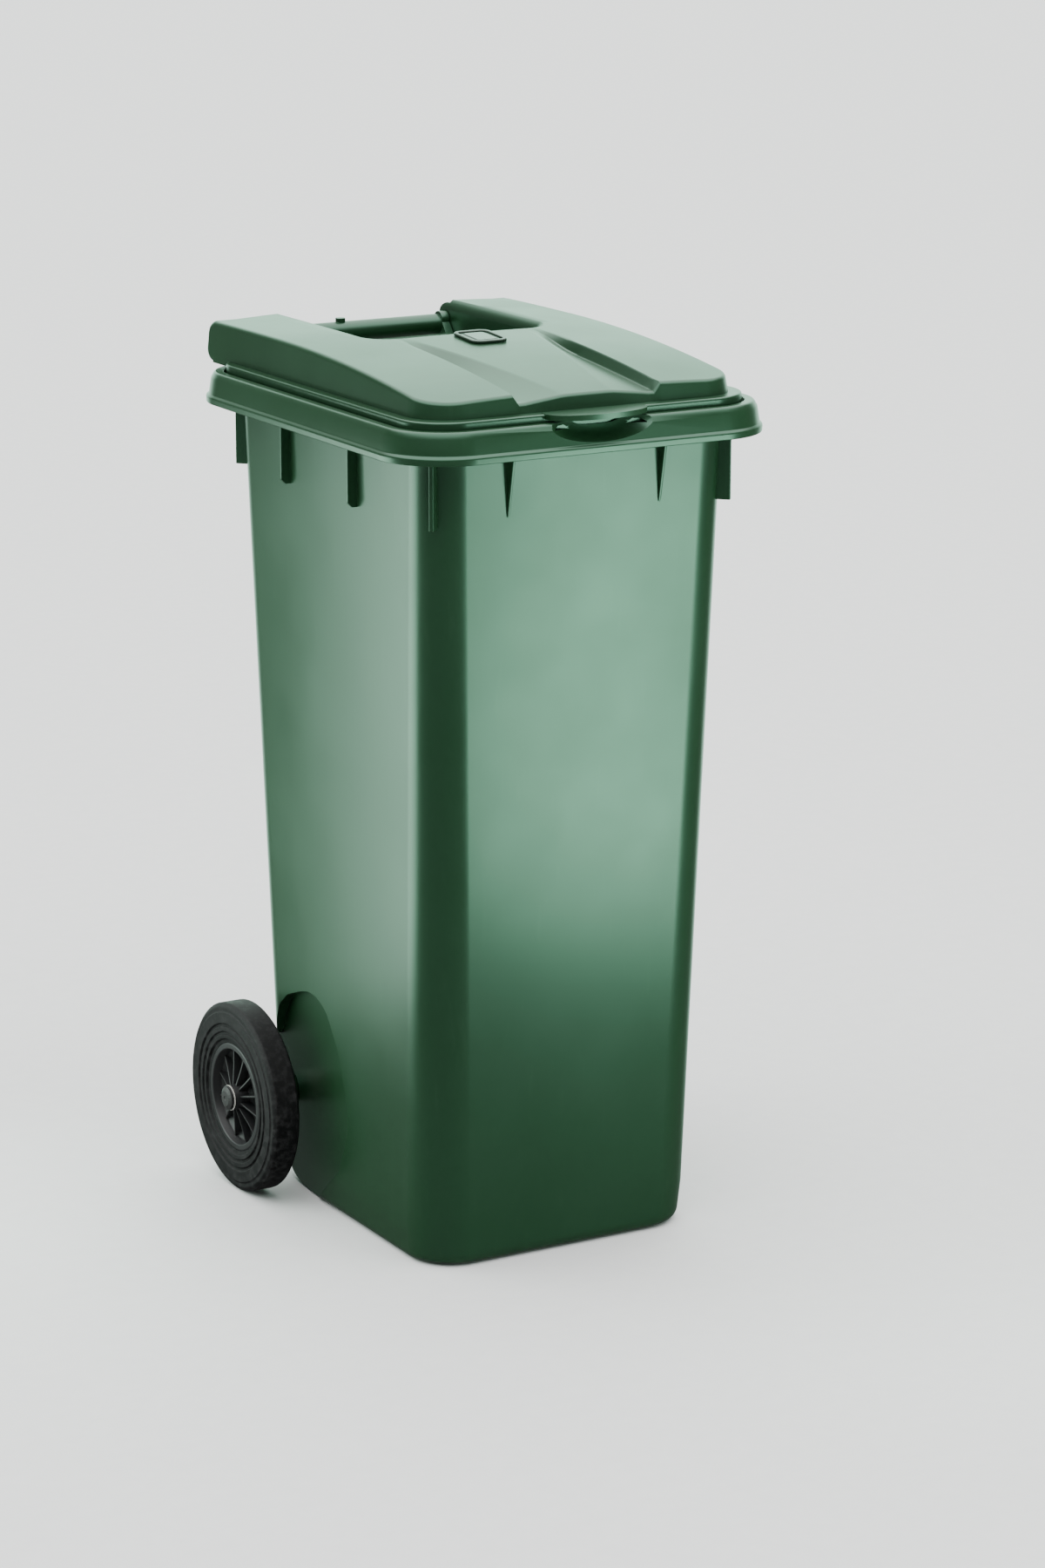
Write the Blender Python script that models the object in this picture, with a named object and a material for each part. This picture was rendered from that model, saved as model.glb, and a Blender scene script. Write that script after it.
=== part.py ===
"""Two-wheeled household waste bin of the 140 litre class.

The tub and the hinged lid are injection mouldings. Two rubber-tyred wheels run on
nylon bushes on a steel axle, which passes through bosses at the back of the base.
Metres, +Z up. The front faces -Y, and the two sides mirror each other across X = 0.
The origin is under the middle of the whole bin, on the ground.
"""

import math

import bmesh
import bpy
from mathutils import Matrix, Vector
from mathutils.geometry import delaunay_2d_cdt

# ---------------------------------------------------------------- driving dimensions
GAP = 0.0003                # clearance between neighbouring pieces
RIM_CENTRE_Y = -0.0045      # the hinge overhangs the back, so the rim sits forward

# Tub: rounded rectangles (half width, front, rear, corner radius) about the rim centre
BASE_SECTION = (0.180, -0.203, 0.208, 0.056)
NECK_SECTION = (0.197, -0.242, 0.247, 0.047)
NECK_Z = 0.955
RIM_SECTION = (0.240, -0.285, 0.285, 0.080)
WALL = 0.004
FLOOR_Z = 0.007
FRONT_HEEL_RADIUS = 0.014
REAR_HEEL_RADIUS = 0.045
SIDE_HEEL_RADIUS = 0.010
CREASE_Z = 0.048            # the sides lean inwards below this height
CREASE_INSET = 0.004
RIM_TOP_Z = 0.9855
LEDGE_Z = 0.979             # the lid rests here, inside the raised rim
LEDGE_INSET = 0.022
BEAD_Z = 0.950
SKIRT_WALL = 0.0035

# Ribs under the rim
SIDE_RIB_YS = (0.097, -0.068)
SIDE_RIB_REACH = 0.0105
SIDE_RIB_THICKNESS = 0.005
FRONT_RIB_X = 0.097
FRONT_RIB_THICKNESS = 0.0035
CORNER_RIB_REACH = 0.013
RIB_BOTTOM_Z = 0.872

# Wheels, axle and the recesses around them
AXLE_Y = 0.172
AXLE_Z = 0.115
AXLE_RADIUS = 0.010
TYRE_RADIUS = 0.115
TYRE_HALF_WIDTH = 0.019
WHEEL_X = 0.228             # middle plane of each wheel
RIM_OUTER_RADIUS = 0.0657
HUB_RADIUS = 0.017
BUSH_RADIUS = 0.013
BUSH_FLANGE_RADIUS = 0.0155
FIN_COUNT = 12
BOSS_RADIUS = 0.017
BOSS_END_X = 0.190
AXLE_END_X = 0.2529
CAP_START_X = 0.2513
CAP_END_X = 0.2550
CAP_RADIUS = 0.014
POCKET_SLOPE = 0.070        # how fast the wheel pocket deepens towards the back
POCKET_EDGE_DEPTH = 0.0015
POCKET_START_Y = -0.008
CHANNEL_RADIUS = 0.030

# Lid: crown over a flat flange, both measured inwards from the rim outline
FLANGE_INSET = 0.024
FLANGE_TOP_Z = 0.994
CROWN_INSET = 0.036
CROWN_EDGE_INSET = 0.041
CROWN_REAR_Y = 0.350        # its sides run straight back to here before they are trimmed
CREST_Y = 0.120
CREST_Z = 1.0365
CREST_CURVE = 0.198         # drop in front of the crest, per metre squared
REAR_CURVE = 0.050          # the same behind it
CROWN_HALF_WIDTH = 0.198
SIDE_DROP = 0.006           # the crown is this much higher in the middle than at its sides
PANEL_REAR_Y = 0.038        # the middle panel ends here, between the shoulders
GUTTER_FOOT_X = 0.086
GUTTER_EDGE_X = 0.092
GUTTER_DEPTH = 0.0125
GUTTER_RISE = 0.0015         # its foot comes up by this much near the front
CREASE_FRONT_X = 0.032      # the flat middle narrows to this half width at the front
PANEL_DEPTH = 0.0058
PANEL_LENGTH = 0.290
DECK_Z = 1.004              # floor of the well between the shoulders
WELL_TOP_Z = 1.0412
WELL_EDGE_RADIUS = 0.014    # rounding along the well's top edges
WELL_EDGE_STEPS = 3
WELL_CORNER_RADIUS = 0.030
CUTTER_TOP_Z = 1.080        # above and behind everything on the lid
CUTTER_REAR_Y = 0.400
SHOULDER_INNER_X = 0.112
DECK_REAR_Y = 0.249
LID_WALL = 0.0035
LIP_HALF_WIDTH = 0.063
LIP_FRONT_Y = -0.291
LIP_BOTTOM_Z = 0.9885

# Hinge and handle
HINGE_Y = 0.283
HINGE_Z = 1.0155
LUG_RADIUS = 0.0105
KNUCKLE_Y = 0.278           # middle of the rounded block at the back of each shoulder
KNUCKLE_HALF = 0.022
KNUCKLE_BOTTOM_Z = 0.988
KNUCKLE_TOP_Z = 1.0355
KNUCKLE_CORNER = 0.016
KNUCKLE_END_X = 0.2035
KNUCKLE_END_RADIUS = 0.005
LUG_INNER_X = 0.101
LUG_OUTER_X = 0.111
PIN_RADIUS = 0.005
PIN_INNER_X = 0.089
PIN_HEAD_X = 0.152
PIN_POCKET_HALF = 0.012
HANDLE_Y = 0.285
HANDLE_Z = 1.0120
HANDLE_RADIUS = 0.0105
PEG_X = -0.031              # a small moulded peg stands on the handle bar
PEG_HALF = 0.0055
PEG_TOP_Z = 1.027
HAND_GAP_HALF = 0.097
HAND_GAP_Y = 0.251

BADGE_WIDTH = 0.047
BADGE_LENGTH = 0.058
BADGE_Y = -0.003
BADGE_CORNER = 0.012
BADGE_BORDER = 0.005

CORNER_STEPS = 8
WHEEL_SEGMENTS = 36
SMALL_SEGMENTS = 20


# ---------------------------------------------------------------- scene and materials
def clear_scene():
    for old in list(bpy.data.objects):
        bpy.data.objects.remove(old, do_unlink=True)


def make_material(name, colour, roughness, metallic=0.0):
    material = bpy.data.materials.new(name)
    material.use_nodes = True
    shader = material.node_tree.nodes["Principled BSDF"]
    shader.inputs["Base Color"].default_value = (*colour, 1.0)
    shader.inputs["Roughness"].default_value = roughness
    shader.inputs["Metallic"].default_value = metallic
    return material


def add_empty(name, location, parent=None):
    empty = bpy.data.objects.new(name, None)
    empty.location = location
    empty.parent = parent
    bpy.context.collection.objects.link(empty)
    return empty


def object_from(name, bm, parent=None, material=None, smooth=False):
    """Turn a bmesh into a linked object with its faces pointing outwards."""
    bmesh.ops.recalc_face_normals(bm, faces=bm.faces)
    mesh = bpy.data.meshes.new(name)
    bm.to_mesh(mesh)
    bm.free()
    if smooth:
        mesh.shade_smooth()
        mesh.set_sharp_from_angle(angle=math.radians(35))
    piece = bpy.data.objects.new(name, mesh)
    piece.parent = parent
    if material:
        mesh.materials.append(material)
    bpy.context.collection.objects.link(piece)
    return piece


# ---------------------------------------------------------------- outlines and solids
def rounded_outline(section, inset=0.0, steps=CORNER_STEPS):
    """Points round a rectangle with round corners, counter-clockwise from above."""
    half_width, front, rear, radius = section
    half_width -= inset
    front += inset
    rear -= inset
    radius = max(radius - inset, 0.004)
    corners = (
        (half_width - radius, rear - radius, 0),
        (radius - half_width, rear - radius, 90),
        (radius - half_width, front + radius, 180),
        (half_width - radius, front + radius, 270),
    )
    points = []
    for centre_x, centre_y, start in corners:
        for step in range(steps + 1):
            angle = math.radians(start + 90 * step / steps)
            x = centre_x + radius * math.cos(angle)
            y = centre_y + radius * math.sin(angle)
            points.append((x, y))
    return points


def ring(section, inset, z):
    return [Vector((x, y, z)) for x, y in rounded_outline(section, inset)]


def loft(rings):
    """Close a stack of rings, each with the same number of points, into one solid."""
    bm = bmesh.new()
    loops = [[bm.verts.new(point) for point in points] for points in rings]
    count = len(loops[0])
    for lower, upper in zip(loops, loops[1:]):
        for i in range(count):
            j = (i + 1) % count
            bm.faces.new((lower[i], lower[j], upper[j], upper[i]))
    bm.faces.new(loops[0])
    bm.faces.new(loops[-1])
    return bm


def prism(outline, low, high, axis="Z"):
    """Extrude a flat outline between two planes along an axis.

    The outline's two numbers are (x, y) for Z, (y, z) for X and (x, z) for Y.
    """
    place = {
        "X": lambda a, b, t: Vector((t, a, b)),
        "Y": lambda a, b, t: Vector((a, t, b)),
        "Z": lambda a, b, t: Vector((a, b, t)),
    }[axis]
    return loft([[place(a, b, t) for a, b in outline] for t in (low, high)])


def arc(centre, radius, start, end, steps):
    points = []
    for step in range(steps + 1):
        angle = math.radians(start + (end - start) * step / steps)
        points.append((centre[0] + radius * math.cos(angle), centre[1] + radius * math.sin(angle)))
    return points


def box_outline(low_a, high_a, low_b, high_b):
    return [(low_a, low_b), (high_a, low_b), (high_a, high_b), (low_a, high_b)]


def turned(profile, segments, closed=True):
    """Turn (x, radius) points round the X axis. An open profile starts and ends on it."""
    bm = bmesh.new()
    loops = []
    for x, radius in profile:
        if radius == 0:
            loops.append([bm.verts.new((x, 0, 0))])
            continue
        loop = []
        for i in range(segments):
            angle = 2 * math.pi * i / segments - math.pi / 2
            loop.append(bm.verts.new((x, radius * math.cos(angle), radius * math.sin(angle))))
        loops.append(loop)
    pairs = list(zip(loops, loops[1:]))
    if closed:
        pairs.append((loops[-1], loops[0]))
    for first, second in pairs:
        for i in range(segments):
            j = (i + 1) % segments
            corners = [first[i % len(first)], first[j % len(first)]]
            corners += [second[j % len(second)], second[i % len(second)]]
            bm.faces.new(list(dict.fromkeys(corners)))
    return bm


def combine(target, tool, operation):
    """Boolean one object with a helper, keep the result and drop the helper."""
    modifier = target.modifiers.new(operation.title(), "BOOLEAN")
    modifier.object = tool
    modifier.operation = operation
    modifier.solver = "EXACT"
    depsgraph = bpy.context.evaluated_depsgraph_get()
    result = bpy.data.meshes.new_from_object(target.evaluated_get(depsgraph))
    target.modifiers.clear()
    result.name = target.name
    target.data = result
    bpy.data.objects.remove(tool, do_unlink=True)


def add(target, bm):
    combine(target, object_from("helper", bm), "UNION")


def cut(target, bm):
    combine(target, object_from("helper", bm), "DIFFERENCE")


def weld(piece):
    """Clean up after the Booleans: merge doubled points and drop needless edges."""
    bm = bmesh.new()
    bm.from_mesh(piece.data)
    bmesh.ops.remove_doubles(bm, verts=bm.verts, dist=0.00001)
    bmesh.ops.dissolve_degenerate(bm, edges=bm.edges, dist=0.00001)
    bm.to_mesh(piece.data)
    bm.free()


# ---------------------------------------------------------------- tub
def wall_section(z):
    """The tub's outer rounded rectangle at a height, with the heel's rounded edges."""
    share = z / NECK_Z
    half_width, front, rear, radius = (
        low + (high - low) * share for low, high in zip(BASE_SECTION, NECK_SECTION)
    )
    half_width -= heel_inset(z, SIDE_HEEL_RADIUS)
    if z < CREASE_Z:
        half_width -= CREASE_INSET * (1 - z / CREASE_Z)
    front += heel_inset(z, FRONT_HEEL_RADIUS)
    rear -= heel_inset(z, REAR_HEEL_RADIUS)
    return half_width, front, rear, radius


def side_wall_x(z):
    return BASE_SECTION[0] + (NECK_SECTION[0] - BASE_SECTION[0]) * z / NECK_Z


def heel_inset(z, radius):
    if z >= radius:
        return 0.0
    return radius - math.sqrt(radius**2 - (radius - z) ** 2)


def tub_shell():
    """One closed shell: up the inside, over the rim and down the outside."""
    rings = [
        ring(wall_section(FLOOR_Z), WALL + 0.008, FLOOR_Z),
        ring(wall_section(FLOOR_Z + 0.003), WALL + 0.002, FLOOR_Z + 0.003),
    ]
    rings += [ring(wall_section(z), WALL, z) for z in (0.020, 0.048, 0.400, LEDGE_Z)]
    rim_profile = (
        (LEDGE_INSET, LEDGE_Z),
        (LEDGE_INSET - 0.001, RIM_TOP_Z),
        (0.0145, RIM_TOP_Z),
        (0.0095, 0.983),
        (0.0080, 0.978),
        (0.0040, 0.961),
        (0.0010, 0.959),
        (0.0, 0.956),
        (0.0008, BEAD_Z),
        (SKIRT_WALL, BEAD_Z),
        (0.0040 + SKIRT_WALL, 0.961),
        (0.0080 + SKIRT_WALL, 0.978),
        (0.0145, RIM_TOP_Z - SKIRT_WALL),
        (LEDGE_INSET - SKIRT_WALL - 0.001, RIM_TOP_Z - SKIRT_WALL),
        (LEDGE_INSET - SKIRT_WALL, LEDGE_Z - SKIRT_WALL),
    )
    rings += [ring(RIM_SECTION, inset, z) for inset, z in rim_profile]
    outside = (LEDGE_Z - SKIRT_WALL, 0.700, 0.400, CREASE_Z, 0.028, 0.014, 0.006, 0.002, 0.0)
    rings += [ring(wall_section(z), 0.0, z) for z in outside]
    return loft(rings)


def pocket(side, margin):
    """Cutter for the recess beside a wheel: it deepens towards the back."""
    outline = [
        (0.088, -0.010),
        (0.088, 0.000),
        (0.018, 0.057),
        *arc((0.075, 0.130), 0.083, 208, 172, 3),
        (0.000, 0.171),
        (0.012, 0.205),
        (0.040, 0.248),
        (0.063, 0.260),
        (0.085, 0.262),
        (0.108, 0.256),
        (0.143, 0.243),
        (0.164, 0.226),
        (0.178, 0.202),
        (0.190, 0.178),
        (0.260, 0.165),
        (0.260, -0.010),
    ]
    if margin:
        outline = grow(outline, margin)
    outer_x = 0.225
    rings = []
    for outer in (True, False):
        points = []
        for y, z in outline:
            depth = POCKET_EDGE_DEPTH + POCKET_SLOPE * (y - POCKET_START_Y)
            floor_x = side_wall_x(z) - depth - margin
            points.append(Vector((side * (outer_x if outer else floor_x), y, z)))
        rings.append(points)
    return loft(rings)


def grow(outline, distance):
    """Offset a closed (a, b) outline outwards."""
    area = sum(
        p[0] * q[1] - q[0] * p[1] for p, q in zip(outline, outline[1:] + outline[:1])
    )
    sign = 1 if area > 0 else -1
    moved = []
    for before, here, after in zip(outline[-1:] + outline[:-1], outline, outline[1:] + outline[:1]):
        arriving = Vector((here[0] - before[0], here[1] - before[1])).normalized()
        leaving = Vector((after[0] - here[0], after[1] - here[1])).normalized()
        normal_in = Vector((arriving.y, -arriving.x)) * sign
        normal_out = Vector((leaving.y, -leaving.x)) * sign
        bisector = (normal_in + normal_out).normalized()
        stretch = distance / max(bisector.dot(normal_in), 0.5)
        moved.append((here[0] + bisector.x * stretch, here[1] + bisector.y * stretch))
    return moved


def channel(margin):
    """Cutter for the slot across the back of the base that the axle crosses."""
    radius = CHANNEL_RADIUS + margin
    outline = arc((AXLE_Y, AXLE_Z), radius, 90, 270, 8)
    outline += [(0.270, AXLE_Z - radius), (0.270, AXLE_Z + radius)]
    return prism(outline, -0.230, 0.230, "X")


def carve_base(body):
    """Line and then cut the wheel pockets and the axle channel."""
    liner = object_from("liner", channel(WALL))
    for side in (-1, 1):
        add(liner, pocket(side, WALL))
    levels = (0.001, 0.014, 0.028, CREASE_Z, 0.320)
    envelope = loft([ring(wall_section(z), 0.001, z) for z in levels])
    combine(liner, object_from("helper", envelope), "INTERSECT")
    combine(body, liner, "UNION")
    cut(body, channel(0.0))
    for side in (-1, 1):
        cut(body, pocket(side, 0.0))


def add_axle_supports(body):
    web_outline = arc((AXLE_Y, AXLE_Z), CHANNEL_RADIUS + 0.002, 90, 270, 8)
    web_outline += [(0.204, AXLE_Z - CHANNEL_RADIUS - 0.002), (0.204, AXLE_Z + CHANNEL_RADIUS + 0.002)]
    for side in (-1, 1):
        for inner, outer in ((0.055, 0.060), (0.110, 0.115), (0.156, 0.162)):
            low, high = sorted((side * inner, side * outer))
            add(body, prism(web_outline, low, high, "X"))
        low, high = sorted((side * 0.130, side * BOSS_END_X))
        boss = arc((AXLE_Y, AXLE_Z), BOSS_RADIUS, 0, 360, SMALL_SEGMENTS)[:-1]
        add(body, prism(boss, low, high, "X"))
    cut(body, prism(circle(AXLE_Y, AXLE_Z, AXLE_RADIUS + GAP), -0.2, 0.2, "X"))


def circle(a, b, radius, segments=SMALL_SEGMENTS):
    """A bore outline whose flats, and not its corners, touch the stated radius."""
    return arc((a, b), radius / math.cos(math.pi / segments), -90, 270, segments)[:-1]


def add_ribs(body):
    top = LEDGE_Z - SKIRT_WALL + 0.001
    wall_x = NECK_SECTION[0] - 0.0025
    reach_x = NECK_SECTION[0] + SIDE_RIB_REACH
    for side in (-1, 1):
        outline = [(side * wall_x, top), (side * reach_x, top), (side * reach_x, RIB_BOTTOM_Z + 0.006)]
        outline += [(side * (reach_x - 0.006), RIB_BOTTOM_Z), (side * wall_x, RIB_BOTTOM_Z)]
        for middle in SIDE_RIB_YS:
            half = SIDE_RIB_THICKNESS / 2
            add(body, prism(outline, middle - half, middle + half, "Y"))
        half = FRONT_RIB_THICKNESS / 2
        front = NECK_SECTION[1]
        outline = [(front + 0.0025, top), (front - 0.017, top), (front + 0.002, RIB_BOTTOM_Z + 0.007)]
        add(body, prism(outline, side * FRONT_RIB_X - half, side * FRONT_RIB_X + half, "X"))
    for side_x in (-1, 1):
        for side_y in (-1, 1):
            add(body, corner_rib(side_x, side_y, top))


def corner_rib(side_x, side_y, top):
    """A plate across a corner of the tub, pointing outwards at 45 degrees."""
    half_width, front, rear, radius = NECK_SECTION
    end = rear if side_y > 0 else front
    direction = Vector((side_x, side_y, 0)).normalized()
    centre = Vector((side_x * (half_width - radius), end - side_y * radius, 0))
    across = Vector((-direction.y, direction.x, 0)) * SIDE_RIB_THICKNESS / 2
    rings = []
    for z in (RIB_BOTTOM_Z, top):
        near = centre + direction * (radius - 0.004)
        far = centre + direction * (radius + CORNER_RIB_REACH)
        points = (near - across, far - across, far + across, near + across)
        rings.append([point + Vector((0, 0, z)) for point in points])
    return loft(rings)


def finger_scoop(body):
    """A shallow hollow in the front of the rim, under the lid's grip lip."""
    rings = []
    for z, inset in ((0.9545, 0.0022), (0.9775, 0.0098)):
        block = box_outline(-0.0745, 0.0745, RIM_SECTION[1] + inset, NECK_SECTION[1] + 0.002)
        rings.append([Vector((x, y, z)) for x, y in block])
    add(body, loft(rings))
    bm = bmesh.new()
    bmesh.ops.create_uvsphere(bm, u_segments=24, v_segments=12, radius=1.0)
    scale = Matrix.Diagonal((0.074, 0.030, 0.0255, 1.0))
    bm.transform(Matrix.Translation((0, LIP_FRONT_Y, RIM_TOP_Z + 0.0005)) @ scale)
    cut(body, bm)


def lug_outline():
    """Side view (y, z) of a hinge lug, which also holds the end of the handle."""
    outline = arc((HINGE_Y, HINGE_Z), LUG_RADIUS, 40, 190, 6)
    outline += [(HAND_GAP_Y + 0.002, RIM_TOP_Z + 0.004), (HAND_GAP_Y + 0.002, LEDGE_Z - 0.002)]
    outline += [(RIM_SECTION[2] - 0.010, LEDGE_Z - 0.002)]
    outline += arc((HANDLE_Y, HANDLE_Z), HANDLE_RADIUS + 0.001, -60, 50, 6)
    return outline


def add_handle(body):
    hand_gap = box_outline(-HAND_GAP_HALF, HAND_GAP_HALF, HAND_GAP_Y, 0.300)
    cut(body, prism(hand_gap, 0.930, 1.000))
    for side in (-1, 1):
        low, high = sorted((side * LUG_INNER_X, side * LUG_OUTER_X))
        add(body, prism(lug_outline(), low, high, "X"))
    bar = arc((HANDLE_Y, HANDLE_Z), HANDLE_RADIUS, 0, 360, SMALL_SEGMENTS)[:-1]
    add(body, prism(bar, -LUG_INNER_X - 0.001, LUG_INNER_X + 0.001, "X"))
    peg = rounded_outline(centred_section(2 * PEG_HALF, 2 * PEG_HALF, 0.0042), 0.0, 3)
    peg = [(PEG_X + x, HANDLE_Y + y) for x, y in peg]
    add(body, prism(peg, HANDLE_Z, PEG_TOP_Z))
    for side in (-1, 1):
        low, high = sorted((side * (PIN_INNER_X - 0.001), side * 0.115))
        cut(body, prism(circle(HINGE_Y, HINGE_Z, PIN_RADIUS + GAP), low, high, "X"))


def make_body(parent, material):
    body = object_from("bin_body", tub_shell(), None, material)
    carve_base(body)
    add_axle_supports(body)
    add_ribs(body)
    finger_scoop(body)
    add_handle(body)
    weld(body)
    body.parent = parent


# ---------------------------------------------------------------- lid
def crown_height(x, y):
    """Height of the lid's top surface, with the sunk middle panel and its gutters."""
    curve = CREST_CURVE if y < CREST_Y else REAR_CURVE
    z = CREST_Z - curve * (y - CREST_Y) ** 2
    z += SIDE_DROP * (1 - (x / CROWN_HALF_WIDTH) ** 2)
    return z - panel_drop(abs(x), y)


def crease_x(y):
    """Half width of the flat middle of the panel; beyond it the surface falls to the gutters."""
    share = min(max((PANEL_REAR_Y - y) / PANEL_LENGTH, 0.0), 1.0)
    return GUTTER_FOOT_X - 0.004 - (GUTTER_FOOT_X - CREASE_FRONT_X) * share


def panel_drop(x, y):
    if x >= GUTTER_EDGE_X or y >= PANEL_REAR_Y:
        return 0.0
    forward = PANEL_REAR_Y - y
    middle = PANEL_DEPTH * forward / PANEL_LENGTH
    fall = min(forward / 0.110, 1.0)
    foot = GUTTER_DEPTH * fall * fall * (3 - 2 * fall)
    foot -= GUTTER_RISE * max((forward - 0.190) / 0.100, 0.0)
    crease = crease_x(y)
    if x <= crease:
        return middle
    if x <= GUTTER_FOOT_X:
        return middle + (foot - middle) * (x - crease) / (GUTTER_FOOT_X - crease)
    return foot * (GUTTER_EDGE_X - x) / (GUTTER_EDGE_X - GUTTER_FOOT_X)


PANEL_ROWS = (-0.225, -0.190, -0.150, -0.110, -0.070, -0.035, -0.005, 0.020, PANEL_REAR_Y)


def crown_lines():
    """The creases, feet and edges of the two gutters, each a line of points from the front."""
    lines = []
    for side in (-1, 1):
        lines.append([(side * crease_x(y), y) for y in PANEL_ROWS])
        lines.append([(side * GUTTER_FOOT_X, y) for y in PANEL_ROWS])
        lines.append([(side * GUTTER_EDGE_X, y) for y in PANEL_ROWS])
    return lines


def crown_grid():
    """Other inner points of the crown's surface."""
    points = [(x, y) for y in PANEL_ROWS for x in (-0.180, -0.150, -0.115, 0.0, 0.115, 0.150, 0.180)]
    xs = (-0.180, -0.150, -0.115, -0.070, 0.0, 0.070, 0.115, 0.150, 0.180)
    return points + [(x, y) for y in (0.080, 0.130, 0.180, 0.230, 0.275) for x in xs]


def crown_solid(section, wall_inset, drop, bottom):
    """A solid under the crown's surface, lowered by drop, down to a flat bottom."""
    edge_inset = wall_inset + CROWN_EDGE_INSET - CROWN_INSET
    edge = rounded_outline(section, edge_inset)
    inner = [p for p in crown_grid() if inside(p, section, edge_inset + 0.010)]
    border = [(i, (i + 1) % len(edge)) for i in range(len(edge))]
    for line in crown_lines():
        line = [p for p in line if inside(p, section, edge_inset + 0.010)]
        start = len(edge) + len(inner)
        border += [(start + i, start + i + 1) for i in range(len(line) - 1)]
        inner += line
    points = [Vector(p) for p in edge + inner]
    flat, _, faces, _, _, _ = delaunay_2d_cdt(points, border, [], 1, 0.0001)
    bm = bmesh.new()
    top = [bm.verts.new((p.x, p.y, crown_height(p.x, p.y) - drop)) for p in flat]
    for corners in faces:
        bm.faces.new([top[i] for i in corners])
    previous = top[: len(edge)]
    shoulder = []
    for (x, y), (edge_x, edge_y) in zip(rounded_outline(section, wall_inset + 0.001), edge):
        shoulder.append(bm.verts.new((x, y, crown_height(edge_x, edge_y) - drop - 0.004)))
    foot = [bm.verts.new((x, y, bottom)) for x, y in rounded_outline(section, wall_inset)]
    for loop in (shoulder, foot):
        for i in range(len(edge)):
            j = (i + 1) % len(edge)
            bm.faces.new((previous[i], previous[j], loop[j], loop[i]))
        previous = loop
    bm.faces.new(foot)
    return bm


def inside(point, section, inset):
    half_width, front, rear, radius = section
    x = abs(point[0])
    y = point[1]
    if x > half_width - inset or y < front + inset or y > rear - inset:
        return False
    corner_x = half_width - radius
    corner_y = front + radius if y < 0 else rear - radius
    beyond_x = max(x - corner_x, 0.0)
    beyond_y = max(corner_y - y, 0.0) if y < 0 else max(y - corner_y, 0.0)
    return math.hypot(beyond_x, beyond_y) <= radius - inset


def notch(margin):
    """Cutter between the shoulders, behind the middle panel. It flares out near the top.

    A margin moves its sides outwards, with the flare's rounding about the same centre.
    """
    radius = WELL_EDGE_RADIUS
    profile = [(margin, DECK_Z - margin), (margin, WELL_TOP_Z - radius)]
    for step in range(1, WELL_EDGE_STEPS + 1):
        angle = math.pi / 2 * step / WELL_EDGE_STEPS
        offset = radius - (radius - margin) * math.cos(angle)
        profile.append((offset, WELL_TOP_Z - radius + (radius - margin) * math.sin(angle)))
    profile.append((radius, CUTTER_TOP_Z))
    rings = []
    for offset, z in profile:
        half = SHOULDER_INNER_X + offset
        corner = WELL_CORNER_RADIUS + offset
        centre_y = PANEL_REAR_Y + WELL_CORNER_RADIUS
        outline = arc((half - corner, centre_y), corner, 0, -90, 5)
        outline += arc((corner - half, centre_y), corner, -90, -180, 5)
        outline += [(-half, CUTTER_REAR_Y), (half, CUTTER_REAR_Y)]
        rings.append([Vector((x, y, z)) for x, y in outline])
    return loft(rings)


def knuckle(side):
    """A rounded block at the back of a shoulder, softened round its outer end."""
    section = (KNUCKLE_HALF, KNUCKLE_BOTTOM_Z, KNUCKLE_TOP_Z, KNUCKLE_CORNER)
    ease = KNUCKLE_END_RADIUS
    rings = []
    for x, inset in (
        (SHOULDER_INNER_X, 0.0), (KNUCKLE_END_X - ease, 0.0),
        (KNUCKLE_END_X - 0.3 * ease, 0.3 * ease), (KNUCKLE_END_X, ease),
    ):
        outline = rounded_outline(section, inset, 5)
        rings.append([Vector((side * x, KNUCKLE_Y + a, b)) for a, b in outline])
    return loft(rings)


def hollow_lid(lid, crown_section):
    hollow_section = (crown_section[0], crown_section[1], 0.262 + CROWN_INSET, crown_section[3])
    inset = CROWN_EDGE_INSET
    hollow = object_from("hollow", crown_solid(hollow_section, inset, LID_WALL, 0.960))
    cut(hollow, notch(LID_WALL))
    rear_wall = box_outline(
        -SHOULDER_INNER_X - LID_WALL, SHOULDER_INNER_X + LID_WALL, DECK_REAR_Y - LID_WALL, 0.300
    )
    cut(hollow, prism(rear_wall, 0.950, CUTTER_TOP_Z))
    combine(lid, hollow, "DIFFERENCE")


def add_knuckles(lid):
    """Shape the back of the shoulders into hinge knuckles, and bore them for the pins."""
    behind = box_outline(-0.220, 0.220, KNUCKLE_Y, CUTTER_REAR_Y)
    cut(lid, prism(behind, 0.950, CUTTER_TOP_Z))
    for side in (-1, 1):
        add(lid, knuckle(side))
        low, high = sorted((side * 0.105, side * (PIN_HEAD_X + 0.001)))
        cut(lid, prism(circle(HINGE_Y, HINGE_Z, PIN_RADIUS + GAP), low, high, "X"))
        low, high = sorted((side * (PIN_HEAD_X - GAP), side * (KNUCKLE_END_X - 0.004)))
        half = PIN_POCKET_HALF
        pin_pocket = box_outline(HINGE_Y - half, HINGE_Y + half, 0.980, HINGE_Z + half)
        cut(lid, prism(pin_pocket, low, high, "X"))


def lip_outline():
    flange_front = RIM_SECTION[1] + FLANGE_INSET
    points = []
    for step in range(15):
        angle = math.pi * step / 14
        x = LIP_HALF_WIDTH * math.cos(angle)
        y = flange_front + (LIP_FRONT_Y - flange_front) * math.sin(angle) ** 0.8
        points.append((x, y))
    return points + [(-LIP_HALF_WIDTH, -0.252), (LIP_HALF_WIDTH, -0.252)]


def add_lip(lid):
    """The grip lip reaches out over the rim's top."""
    add(lid, prism(lip_outline(), LIP_BOTTOM_Z, FLANGE_TOP_Z + 0.0005))


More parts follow.
